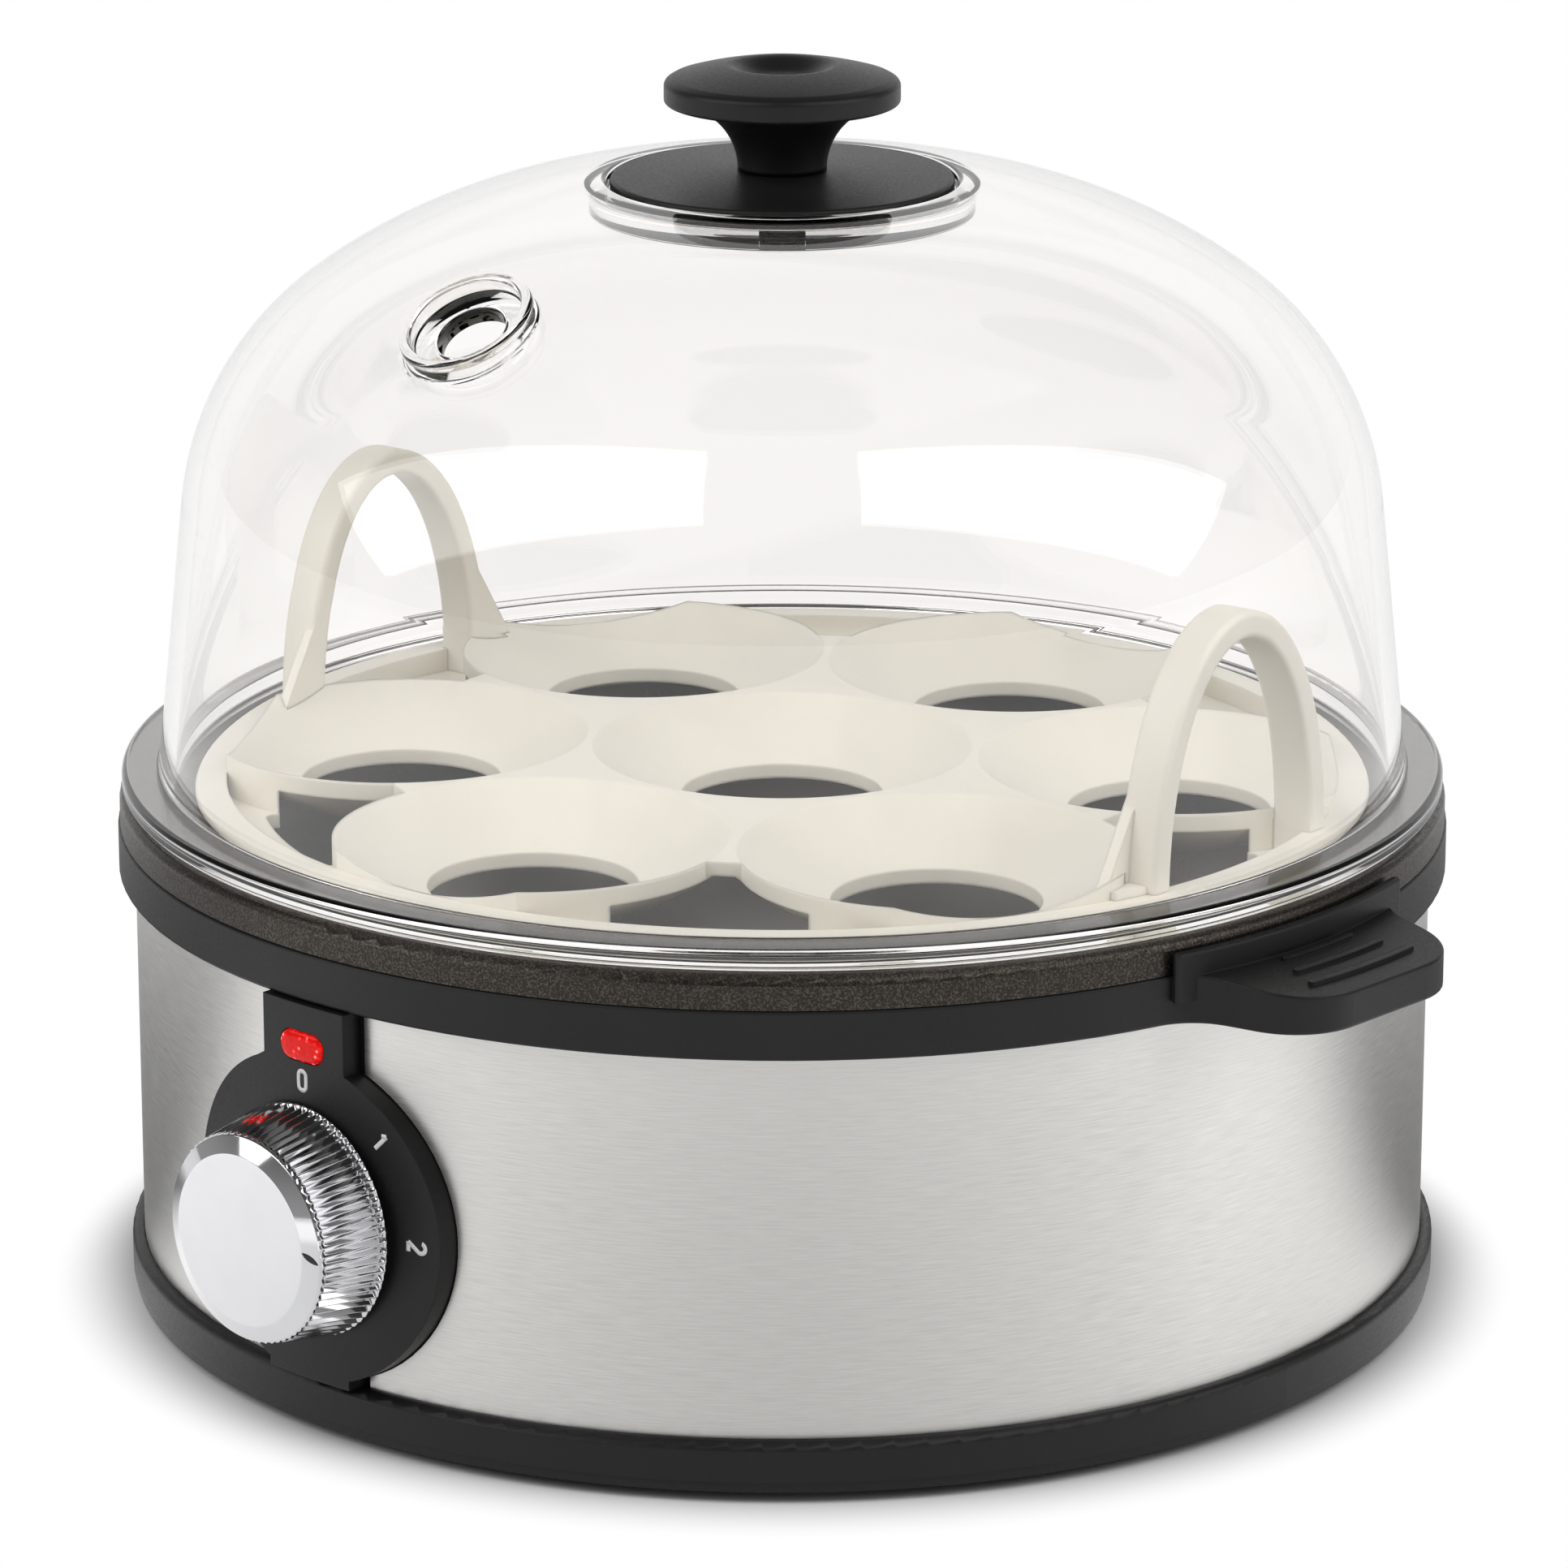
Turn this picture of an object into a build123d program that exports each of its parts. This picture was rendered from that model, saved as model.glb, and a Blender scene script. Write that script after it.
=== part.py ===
from build123d import *
import os
from math import asin, cos, pi, radians, sin, sqrt

# Electric egg cooker, in millimetres, +Z up. The origin is on the body's axis, at the plane that
# the feet stand on. The control panel faces -Y, and the lifting tabs point along +X and -X.

# Clearances
fit_gap = 0.1          # between fixed pieces that locate each other
rest_gap = 0.3         # under the tray and the lid, which lift off
guide_gap = 0.4        # round the tray and the lid knob's disc
run_gap = 0.05         # round the shaft that turns
dial_gap = 0.4         # between the dial and what stands still
weld_overlap = 0.5     # how far one half of a moulding reaches into the other

# Feet and bottom cover
foot_standoff = 1.5
foot_radius = 6.0
foot_spigot_radius = 2.5
foot_spigot_length = 4.0
foot_inset = 14.0      # of the foot's centre, inside the band
cover_overhang = 1.5   # beyond the band
cover_height = 6.2
cover_floor = 2.0
cover_recess = 2.0
cover_skirt_wall = 2.5
cover_edge_round = 1.0
cover_step = 0.3
cover_step_height = 1.3
upstand_height = 6.0

# Steel band
band_thickness = 0.5
band_height = 46.6     # the stretch that shows
band_seat = 1.6        # depth of the groove that holds each edge

# Top ring with its tabs. Its radius drives those of the pieces round the axis
ring_radius = 82.0
ring_overhang = 2.0    # beyond the band
ring_height = 5.9
ring_shelf = 3.0
ring_under_round = 0.5
ring_upper_round = 0.3
liner_wall = 1.6
liner_depth = 12.3
column_radius = 2.6
tab_length = 13.6
tab_root_half_width = 17.0
tab_tip_half_width = 14.3
tab_corner = 9.0
tab_blend = 7.0
tab_fall = 1.5         # how far the top drops from root to tip
ridge_height = 0.45
ridge_width = 0.9
ridge_rows = ((2.9, 8.0), (6.2, 10.0), (9.7, 11.4))    # distance from the ring, opening angle
guard_wall = 1.3
guard_rise = 2.9       # above the ring's top
guard_angle = 28.0

# Screws, all of one thread
screw_radius = 1.25
screw_head_radius = 2.4
screw_head_height = 1.5
screw_slot_width = 0.7
screw_slot_depth = 0.6

# Heating pan
pan_rim_inset = 0.25   # from the ring's edge
pan_rim_width = 11.35
pan_rim_height = 4.2
pan_wall = 1.8
pan_edge_round = 1.2
bowl_depth = 14.4
bowl_corner = 8.0
seal_width = 2.0
pan_screw_reach = 3.0

# Heater
element_inset = 20.4   # of the tube's centre, inside the bowl's wall
element_tube_radius = 3.2
element_gap_angle = 36.0
element_bend = 5.0
element_lead_length = 8.0
element_pin_radius = 1.2
element_pin_length = 6.0
rib_wall = 1.5
rib_depth = 4.0

# Thermostat
thermostat_cap_radius = 8.0
thermostat_cap_height = 3.0
thermostat_body_radius = 6.5
thermostat_body_height = 7.0
blade_width = 6.3
blade_thickness = 0.8
blade_length = 9.0
blade_spacing = 8.0
bracket_width = 10.0
bracket_thickness = 1.0
bracket_boss_spacing = 26.0
boss_radius = 3.0

# Heat shield
shield_margin = 8.0    # beyond the element's centre line
shield_thickness = 0.6
shield_drop = 15.0     # from the pan's underside to the plate
shield_rim = 5.0
shield_boss_inset = 16.0   # inside the element's centre line
shield_hole_radius = 9.0
shield_pin_hole_radius = 5.0
washer_thickness = 0.8
washer_radius = 3.2

# Thermal fuse and earth lug
fuse_radius = 2.0
fuse_length = 11.0
fuse_inset = 14.0      # inside the shield's screws
fuse_start_y = -16.0
clip_thickness = 0.5
clip_width = 5.0
clip_ear = 2.5
lug_barrel_radius = 1.4
lug_reach = 11.0

# Control panel
panel_proud = 2.6      # beyond the band
panel_neck_rise = 6.45     # of the neck, above the round pad
panel_neck_half_width = 6.65
panel_foot = 0.15
panel_edge_gap = 0.2   # round the pad, to the steel
panel_neck_gap = 0.85  # beside the neck, to the steel
panel_flange_half_width = 24.0
panel_edge_round = 0.4
switch_seat_depth = 2.0

# Lamp
lamp_drop = 5.3        # lamp's centre below the ring
lens_width = 7.0
lens_height = 3.6
lens_proud = 0.5
lens_edge_round = 0.5
lens_flange = 1.2
lamp_radius = 2.2
lamp_length = 8.4
holder_wall = 0.9
holder_length = 7.5
holder_pad = 1.0
lamp_pin_radius = 0.35
lamp_pin_spacing = 2.2

# Rotary switch and shaft
switch_inset = 7.0     # of the body's sides, inside the pad's edge
switch_depth = 14.0
switch_corner = 3.0
bush_radius = 4.9
nut_flats = 13.0
nut_thickness = 2.4
nut_recess = 2.2
nut_recess_gap = 0.8
bush_proud = 0.2
shaft_radius = 3.0
shaft_tail = 1.2       # of the switch's back wall, behind the shaft
shaft_flat = 2.0       # from the axis to the flat
switch_blade_width = 4.8
switch_blade_length = 8.0
switch_blade_places = ((-4.0, -8.0), (4.0, -4.0))    # across, above the dial's axis

# Dial knob
knob_back_radius = 14.2
knob_front_radius = 12.7
knob_bevel_width = 1.9
knob_depth = 9.25
knob_bevel = 0.9
knob_skirt_wall = 1.7
knob_face_wall = 2.9
knob_tip_wall = 2.0
hub_radius = 5.4
knurl_count = 72
knurl_depth = 0.45
leaf_thickness = 0.5
leaf_width = 3.0
leaf_length = 5.5

# Egg tray
tray_turn = 4.8        # of the arches, from +X towards +Y
tray_rim_overlap = 1.9     # on the pan's rim
tray_rim_thickness = 1.2
tray_rim_round = 0.4
tray_wall = 1.5
tray_clear = 7.5       # of the wall's foot, above the bowl's floor
tray_shell = 1.8
tray_cap_rise = 2.3    # ridges between the seats, above the rim
tray_ledge_drop = 2.9
tray_ledge_width = 4.2
seat_inset = 20.5      # of the outer seats' centres, inside the tray's wall
seat_ridge = 1.05      # between two seats
seat_depth = 6.1       # below the rim's top
seat_hole_radius = 12.5
slot_clear = 8.4       # outside the narrowest place between two seats
slot_round = 1.4
arch_half_width = 17.6
arch_height = 30.4
arch_bar = 3.3
arch_inset = 5.7       # of the arch's inner face, inside the tray's wall
arch_depth = 5.3
arch_edge_round = 0.7
arch_foot_flare = 4.4  # beyond the arch's side
arch_foot_rise = 1.0
gusset_height = 11.0
gusset_thickness = 1.6

# Lid dome
lid_wall = 2.0
lid_flange_inset = 0.35    # from the pan's edge
lid_flange_width = 4.6
lid_flange_height = 2.6
lid_flange_round = 0.9
dome_draft = 6.0
dome_wall_height = 32.8
dome_shoulder_radius = 36.86
dome_shoulder_angle = 54.4
dome_crown_radius = 71.67
recess_depth = 2.8
recess_lip_round = 0.8
vent_inset = 23.4      # of the vent's centre, from the dome's foot
vent_boss_radius = 8.3
vent_boss_height = 2.0
vent_dish_radius = 6.9
vent_hole_radius = 4.25
vent_edge_round = 0.7

# Lid knob
knob_disc_radius = 20.83
knob_disc_edge = 1.9
knob_disc_height = 4.0
stem_foot_radius = 5.4
grip_radius = 14.3
stem_height = 8.1
grip_side = 2.3
grip_edge = 1.2
grip_crown = 1.2
dimple_radius = 6.2
dimple_depth = 1.2
lid_screw_radius = 1.75
lid_screw_head_radius = 4.0
lid_screw_head_height = 2.4
lid_screw_reach = 7.0
lid_washer_radius = 5.5
lid_washer_thickness = 0.8

# Cord gland
gland_clear = 1.0      # above the cover's upstand
gland_neck_radius = 5.2
gland_flange_radius = 7.4
gland_outer_flange = 2.2
gland_inner_flange = 3.0
gland_bore_radius = 3.6

# Terminal block
block_width = 24.0
block_depth = 12.0
block_height = 11.0
block_x = 28.0
block_inset = 25.8     # of the block's middle, inside the liner
block_way_spacing = 6.0
block_way_radius = 1.8
block_screw_depth = 2.5

# Leads
lead_radius = 1.0
lead_bend = 4.0
lead_tail = 12.0       # level run at a terminal
lead_dip = 10.0        # fall below a blade or a pin

# Levels, from the resting plane upwards
cover_bottom = foot_standoff
cover_top = cover_bottom + cover_height
floor_bottom = cover_bottom + cover_recess
floor_top = floor_bottom + cover_floor
ring_bottom = cover_top + band_height
ring_top = ring_bottom + ring_height
shelf_bottom = ring_top - ring_shelf
pan_top = ring_top + pan_rim_height
bowl_floor = pan_top - bowl_depth
pan_under = bowl_floor - pan_wall
shield_top = pan_under - shield_drop
shield_bottom = shield_top - shield_thickness
lid_bottom = pan_top + rest_gap
tray_flange_bottom = pan_top + rest_gap
tray_top = tray_flange_bottom + tray_rim_thickness
panel_pad_radius = (band_height - panel_foot - panel_neck_rise) / 2
dial_height = cover_top + panel_foot + panel_pad_radius
lamp_height = ring_bottom - lamp_drop
gland_height = floor_top + upstand_height + gland_clear + gland_flange_radius

# Radii that pieces share, each from its neighbour's
band_radius = ring_radius - ring_overhang
cover_radius = band_radius + cover_overhang
foot_circle = band_radius - foot_inset
panel_face_radius = band_radius + panel_proud
tab_reach = ring_radius + tab_length
pan_rim_radius = ring_radius - pan_rim_inset
bowl_radius = pan_rim_radius - pan_rim_width
tray_rim_radius = bowl_radius + tray_rim_overlap
lid_flange_radius = pan_rim_radius - lid_flange_inset
dome_radius = lid_flange_radius - lid_flange_width
element_circle = bowl_radius - element_inset
shield_radius = element_circle + shield_margin
shield_boss_circle = element_circle - shield_boss_inset
fuse_x = shield_boss_circle - fuse_inset
switch_width = 2 * (panel_pad_radius - switch_inset)
groove_outer = band_radius + fit_gap
liner_outer = band_radius - band_thickness - fit_gap
liner_inner = liner_outer - liner_wall
column_circle = liner_inner - fit_gap - column_radius
screw_hole = screw_radius + fit_gap
bowl_outer = bowl_radius + pan_wall
ring_bore = bowl_outer + guide_gap


def facing(distance, height):
    """Plane square to -Y at a distance in front of the axis, with +X across and +Z up."""
    return Plane(origin=(0, -distance, height), x_dir=(1, 0, 0), z_dir=(0, -1, 0))


def polar(radius, angle, height):
    """Point at a radius and an angle in degrees from +X, at a height."""
    return (radius * cos(radians(angle)), radius * sin(radians(angle)), height)


# Bottom cover: a shallow dish with a groove for the band and an upstand inside it
with BuildPart() as bottom_cover:
    with BuildSketch(Plane.XZ):
        with BuildLine():
            Polyline(
                (0, floor_bottom),
                (cover_radius - cover_skirt_wall, floor_bottom),
                (cover_radius - cover_skirt_wall, cover_bottom),
                (cover_radius - cover_step, cover_bottom),
                (cover_radius - cover_step, cover_bottom + cover_step_height),
                (cover_radius, cover_bottom + cover_step_height),
                (cover_radius, cover_top),
                (groove_outer, cover_top),
                (groove_outer, cover_top - band_seat),
                (liner_outer, cover_top - band_seat),
                (liner_outer, floor_top + upstand_height),
                (liner_inner, floor_top + upstand_height),
                (liner_inner, floor_top),
                (0, floor_top),
                close=True,
            )
        make_face()
    revolve(axis=Axis.Z)
    lip_edge = bottom_cover.edges().filter_by(GeomType.CIRCLE).sort_by(SortBy.RADIUS)
    fillet(lip_edge.filter_by(lambda edge: abs(edge.center().Z - cover_top) < fit_gap)[-1], cover_edge_round)
    with BuildSketch(Plane.XY.offset(floor_bottom)):
        with PolarLocations(column_circle, 4, start_angle=45):
            Circle(screw_hole)
        with PolarLocations(foot_circle, 4):
            Circle(foot_spigot_radius + fit_gap)
    extrude(amount=cover_floor, mode=Mode.SUBTRACT)

# Rubber feet, each with a spigot through the cover's floor
with BuildPart() as rubber_feet:
    with BuildSketch():
        with PolarLocations(foot_circle, 4):
            Circle(foot_radius)
    extrude(amount=floor_bottom)
    with BuildSketch():
        with PolarLocations(foot_circle, 4):
            Circle(foot_spigot_radius)
    extrude(amount=floor_bottom + foot_spigot_length)

# Screws up through the cover's floor into the ring's columns
cover_screw_reach = cover_floor + 8 * screw_radius
with BuildPart() as cover_screws:
    with BuildSketch(Plane.XY.offset(floor_bottom - screw_head_height)):
        with PolarLocations(column_circle, 4, start_angle=45):
            Circle(screw_head_radius)
    extrude(amount=screw_head_height)
    with BuildSketch(Plane.XY.offset(floor_bottom)):
        with PolarLocations(column_circle, 4, start_angle=45):
            Circle(screw_radius)
    extrude(amount=cover_screw_reach)
    with BuildSketch(Plane.XY.offset(floor_bottom - screw_head_height)):
        with PolarLocations(column_circle, 4, start_angle=45):
            Rectangle(3 * screw_head_radius, screw_slot_width)
    extrude(amount=screw_slot_depth, mode=Mode.SUBTRACT)

# Steel band, open at the front for the keyhole panel and at the rear for the gland
with BuildPart() as steel_band:
    with BuildSketch(Plane.XY.offset(cover_top - band_seat)):
        Circle(band_radius)
        Circle(band_radius - band_thickness, mode=Mode.SUBTRACT)
    extrude(amount=band_height + 2 * band_seat - fit_gap)
    with BuildSketch(facing(0, dial_height)):
        Circle(panel_pad_radius + panel_edge_gap)
        Rectangle(2 * (panel_neck_half_width + panel_neck_gap), 4 * band_height)
    extrude(amount=2 * band_radius, mode=Mode.SUBTRACT)
    with BuildSketch(facing(0, gland_height)):
        Circle(gland_neck_radius + fit_gap)
    extrude(amount=-2 * band_radius, mode=Mode.SUBTRACT)

# Tab tops fall towards the tip: what lies above this wedge is cut away
tab_heel_half_width = 2 * tab_root_half_width - tab_tip_half_width
with BuildPart() as above_tabs:
    with BuildSketch(Plane.XZ):
        for side in (1, -1):
            with BuildLine():
                Polyline(
                    (side * ring_radius, ring_top),
                    (side * (ring_radius + 2 * tab_length), ring_top - 2 * tab_fall),
                    (side * (ring_radius + 2 * tab_length), ring_top + ring_height),
                    (side * ring_radius, ring_top + ring_height),
                    close=True,
                )
            make_face()
    extrude(amount=ring_radius, both=True)

with BuildPart() as tab_ridges:
    for row_distance, row_angle in ridge_rows:
        with BuildSketch(Plane.XY.offset(ring_bottom + ring_height / 2)):
            for middle in (0, 180):
                with BuildLine():
                    row = CenterArc((0, 0), ring_radius + row_distance, middle - row_angle / 2, row_angle)
                    offset(row, ridge_width / 2, kind=Kind.ARC, side=Side.BOTH)
                make_face()
        extrude(amount=ring_height)
    add(above_tabs.part.moved(Location((0, 0, ridge_height))), mode=Mode.SUBTRACT)

# Top ring: a shelf for the pan, a groove for the band, a liner inside it, and two tabs
with BuildPart() as top_ring:
    with BuildSketch(Plane.XY.offset(ring_bottom)) as tab_plan:
        Circle(ring_radius)
        for side in (1, -1):
            with BuildLine():
                Polyline(
                    (side * (ring_radius - tab_length), tab_heel_half_width),
                    (side * tab_reach, tab_tip_half_width),
                    (side * tab_reach, -tab_tip_half_width),
                    (side * (ring_radius - tab_length), -tab_heel_half_width),
                    close=True,
                )
            make_face()
        fillet(tab_plan.vertices().filter_by(lambda v: abs(v.X) > tab_reach - fit_gap), tab_corner)
        fillet(
            tab_plan.vertices().filter_by(lambda v: abs(sqrt(v.X**2 + v.Y**2) - ring_radius) < fit_gap),
            tab_blend,
        )
        Circle(groove_outer, mode=Mode.SUBTRACT)
    extrude(amount=ring_height)
    add(above_tabs.part, mode=Mode.SUBTRACT)
    fillet(top_ring.faces().sort_by(Axis.Z)[0].outer_wire().edges(), ring_under_round)
    upper_edges = top_ring.edges().filter_by(
        lambda edge: edge.bounding_box().min.Z > ring_top - tab_fall - fit_gap
        and sqrt(edge.center().X ** 2 + edge.center().Y ** 2) > ring_radius - fit_gap
        and abs(abs(edge.center().X) - ring_radius) > fit_gap
    )
    fillet(upper_edges, ring_upper_round)
    with BuildSketch(Plane.XZ):
        with BuildLine():
            Polyline(
                (ring_bore, ring_top),
                (groove_outer + weld_overlap, ring_top),
                (groove_outer + weld_overlap, ring_bottom),
                (groove_outer, ring_bottom),
                (groove_outer, ring_bottom + band_seat),
                (liner_outer, ring_bottom + band_seat),
                (liner_outer, ring_bottom - liner_depth),
                (liner_inner, ring_bottom - liner_depth),
                (liner_inner, shelf_bottom),
                (ring_bore, shelf_bottom),
                close=True,
            )
        make_face()
    revolve(axis=Axis.Z)
    with BuildSketch(facing(0, ring_bottom)):
        notch_half_width = panel_flange_half_width + fit_gap
        Rectangle(2 * notch_half_width, liner_depth + fit_gap, align=(Align.CENTER, Align.MAX))
    extrude(amount=liner_outer, mode=Mode.SUBTRACT)
    with BuildSketch(Plane.XY.offset(floor_top)):
        with PolarLocations(column_circle, 4, start_angle=45):
            Circle(column_radius)
    extrude(amount=shelf_bottom - floor_top + weld_overlap)
    with BuildSketch(Plane.XY.offset(ring_bottom - liner_depth)):
        with PolarLocations(column_circle + column_radius, 4, start_angle=45):
            Rectangle(column_radius, column_radius)
    extrude(amount=shelf_bottom - ring_bottom + liner_depth)
    with BuildSketch(Plane.XY.offset(floor_top)):
        with PolarLocations(column_circle, 4, start_angle=45):
            Circle(screw_hole)
    extrude(amount=cover_screw_reach - cover_floor + screw_radius, mode=Mode.SUBTRACT)
    with BuildSketch(Plane.XY.offset(shelf_bottom)):
        with PolarLocations(column_circle, 4):
            Circle(screw_hole)
    extrude(amount=ring_shelf, mode=Mode.SUBTRACT)
    add(tab_ridges.part)
    guard_inner = pan_rim_radius + guide_gap
    with BuildSketch(Plane.XY.offset(ring_bottom + ring_height / 2)):
        for middle in (0, 180):
            with BuildLine():
                guard = CenterArc((0, 0), guard_inner + guard_wall / 2, middle - guard_angle / 2, guard_angle)
                offset(guard, guard_wall / 2, kind=Kind.INTERSECTION, side=Side.BOTH)
            make_face()
    extrude(amount=ring_height / 2 + guard_rise)
    guard_edges = top_ring.edges().filter_by(lambda edge: edge.center().Z > ring_top + guard_rise - fit_gap)
    fillet(guard_edges, ring_upper_round)

# Heating pan: a rim that caps the ring, a bowl, and the bosses and ribs under its floor
pan_lip_inner = pan_rim_radius - pan_wall
with BuildPart() as heating_pan:
    with BuildSketch(Plane.XZ):
        with BuildLine():
            Polyline(
                (0, bowl_floor),
                (0, pan_under),
                (bowl_radius - bowl_corner, pan_under),
            )
            RadiusArc(
                (bowl_radius - bowl_corner, pan_under),
                (bowl_outer, bowl_floor + bowl_corner),
                -(bowl_corner + pan_wall),
            )
            Polyline(
                (bowl_outer, bowl_floor + bowl_corner),
                (bowl_outer, pan_top - pan_wall),
                (pan_lip_inner, pan_top - pan_wall),
                (pan_lip_inner, ring_top + fit_gap),
                (pan_rim_radius, ring_top + fit_gap),
                (pan_rim_radius, pan_top),
                (bowl_radius, pan_top),
                (bowl_radius, bowl_floor + bowl_corner),
            )
            RadiusArc(
                (bowl_radius, bowl_floor + bowl_corner),
                (bowl_radius - bowl_corner, bowl_floor),
                bowl_corner,
            )
            Line((bowl_radius - bowl_corner, bowl_floor), (0, bowl_floor))
        make_face()
    revolve(axis=Axis.Z)
    rim_edges = heating_pan.edges().filter_by(
        lambda edge: edge.geom_type == GeomType.CIRCLE and abs(edge.center().Z - pan_top) < fit_gap
    )
    fillet(rim_edges, pan_edge_round)
    with BuildSketch(Plane.XY.offset(pan_top - pan_wall)):
        with PolarLocations(column_circle, 4):
            Circle(column_radius)
    extrude(amount=-(pan_rim_height - pan_wall))
    with BuildSketch(Plane.XY.offset(ring_top)):
        with PolarLocations(column_circle, 4):
            Circle(screw_hole)
    extrude(amount=pan_screw_reach + fit_gap, mode=Mode.SUBTRACT)
    with BuildSketch(Plane.XY.offset(pan_under)):
        for rib_inner in (
            element_circle + element_tube_radius + fit_gap,
            element_circle - element_tube_radius - fit_gap - rib_wall,
        ):
            Circle(rib_inner + rib_wall)
            Circle(rib_inner, mode=Mode.SUBTRACT)
    extrude(amount=-rib_depth)
    for drop, places in (
        (thermostat_cap_height, GridLocations(bracket_boss_spacing, 0, 2, 1)),
        (shield_drop, PolarLocations(shield_boss_circle, 3, start_angle=90)),
    ):
        with BuildSketch(Plane.XY.offset(pan_under)):
            with places:
                Circle(boss_radius)
        extrude(amount=-drop)
        with BuildSketch(Plane.XY.offset(pan_under)):
            with places:
                Circle(screw_hole)
        extrude(amount=-drop, mode=Mode.SUBTRACT)

# Seal between the pan's rim and the ring
seal_outer = pan_lip_inner - fit_gap
with BuildPart() as pan_seal:
    with BuildSketch(Plane.XY.offset(ring_top)):
        Circle(seal_outer)
        Circle(seal_outer - seal_width, mode=Mode.SUBTRACT)
    extrude(amount=pan_rim_height - pan_wall)

# Screws up through the ring's shelf into the pan
with BuildPart() as pan_screws:
    with BuildSketch(Plane.XY.offset(shelf_bottom)):
        with PolarLocations(column_circle, 4):
            Circle(screw_head_radius)
    extrude(amount=-screw_head_height)
    with BuildSketch(Plane.XY.offset(shelf_bottom)):
        with PolarLocations(column_circle, 4):
            Circle(screw_radius)
    extrude(amount=ring_shelf + pan_screw_reach)

# Sheathed element: a ring under the pan's floor, with both ends bent down to bare pins at the rear
element_height = pan_under - fit_gap - element_tube_radius
element_start = 90 + element_gap_angle / 2
element_turn = 360 - element_gap_angle
bend_bottom = element_height - element_bend
pin_top = bend_bottom - element_lead_length
pin_bottom = pin_top - element_pin_length
ring_end = Vector(*polar(element_circle, element_start, element_height))
end_direction = Vector(*polar(1, element_start - 90, 0))
bend_end = ring_end + end_direction * element_bend - Vector(0, 0, element_bend)
pin_x = abs(bend_end.X)
pin_y = bend_end.Y
with BuildPart() as heating_element:
    with BuildLine() as element_path:
        Line((-pin_x, pin_y, pin_top), (-pin_x, pin_y, bend_bottom))
        TangentArc((-pin_x, pin_y, bend_bottom), ring_end, tangent=(0, 0, 1))
        CenterArc((0, 0, element_height), element_circle, element_start, element_turn)
        TangentArc(
            (-ring_end.X, ring_end.Y, element_height),
            (pin_x, pin_y, bend_bottom),
            tangent=(-end_direction.X, end_direction.Y, 0),
        )
        Line((pin_x, pin_y, bend_bottom), (pin_x, pin_y, pin_top))
    with BuildSketch(Plane(origin=(-pin_x, pin_y, pin_top), z_dir=(0, 0, 1))):
        Circle(element_tube_radius)
    sweep(path=element_path.wires()[0])
    with BuildSketch(Plane.XY.offset(pin_bottom)):
        with Locations((-pin_x, pin_y), (pin_x, pin_y)):
            Circle(element_pin_radius)
    extrude(amount=element_pin_length + weld_overlap)

# Disc thermostat against the pan's floor, with two blades that pass down through the shield
thermostat_shoulder = pan_under - thermostat_cap_height
thermostat_bottom = thermostat_shoulder - thermostat_body_height
blade_bottom = thermostat_bottom - blade_length
with BuildPart() as thermostat:
    with BuildSketch(Plane.XY.offset(thermostat_shoulder)):
        Circle(thermostat_cap_radius)
    extrude(amount=thermostat_cap_height)
    with BuildSketch(Plane.XY.offset(thermostat_bottom)):
        Circle(thermostat_body_radius)
    extrude(amount=thermostat_body_height)
    with BuildSketch(Plane.XY.offset(blade_bottom)):
        with GridLocations(0, blade_spacing, 1, 2):
            Rectangle(blade_width, blade_thickness)
    extrude(amount=blade_length)

# Strap that presses the thermostat's shoulder up, screwed to two bosses
with BuildPart() as thermostat_bracket:
    with BuildSketch(Plane.XY.offset(thermostat_shoulder - bracket_thickness)):
        SlotOverall(bracket_boss_spacing + bracket_width, bracket_width)
        Circle(thermostat_body_radius + 3 * bracket_thickness)
        Circle(thermostat_body_radius + fit_gap, mode=Mode.SUBTRACT)
        with GridLocations(bracket_boss_spacing, 0, 2, 1):
            Circle(screw_hole, mode=Mode.SUBTRACT)
    extrude(amount=bracket_thickness)

with BuildPart() as bracket_screws:
    with BuildSketch(Plane.XY.offset(thermostat_shoulder - bracket_thickness)):
        with GridLocations(bracket_boss_spacing, 0, 2, 1):
            Circle(screw_head_radius)
    extrude(amount=-screw_head_height)
    with BuildSketch(Plane.XY.offset(thermostat_shoulder - bracket_thickness)):
        with GridLocations(bracket_boss_spacing, 0, 2, 1):
            Circle(screw_radius)
    extrude(amount=bracket_thickness + thermostat_cap_height - fit_gap)

# Heat shield: a thin dished plate on three bosses, with holes for the pins and the blades
with BuildPart() as heat_shield:
    with BuildSketch(Plane.XY.offset(shield_bottom)):
        Circle(shield_radius)
    extrude(amount=shield_thickness + shield_rim)
    with BuildSketch(Plane.XY.offset(shield_top)):
        Circle(shield_radius - shield_thickness)
    extrude(amount=shield_rim, mode=Mode.SUBTRACT)
    with BuildSketch(Plane.XY.offset(shield_bottom)):
        Circle(shield_hole_radius)
        with Locations((-pin_x, pin_y), (pin_x, pin_y)):
            Circle(shield_pin_hole_radius)
        with PolarLocations(shield_boss_circle, 3, start_angle=90):
            Circle(screw_hole)
    extrude(amount=shield_thickness, mode=Mode.SUBTRACT)

with BuildPart() as shield_screws:
    with BuildSketch(Plane.XY.offset(shield_bottom - washer_thickness)):
        with PolarLocations(shield_boss_circle, 3, start_angle=90):
            Circle(screw_head_radius)
    extrude(amount=-screw_head_height)
    with BuildSketch(Plane.XY.offset(shield_bottom - washer_thickness)):
        with PolarLocations(shield_boss_circle, 3, start_angle=90):
            Circle(screw_radius)
    extrude(amount=washer_thickness + shield_thickness + shield_drop - fit_gap)

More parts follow.
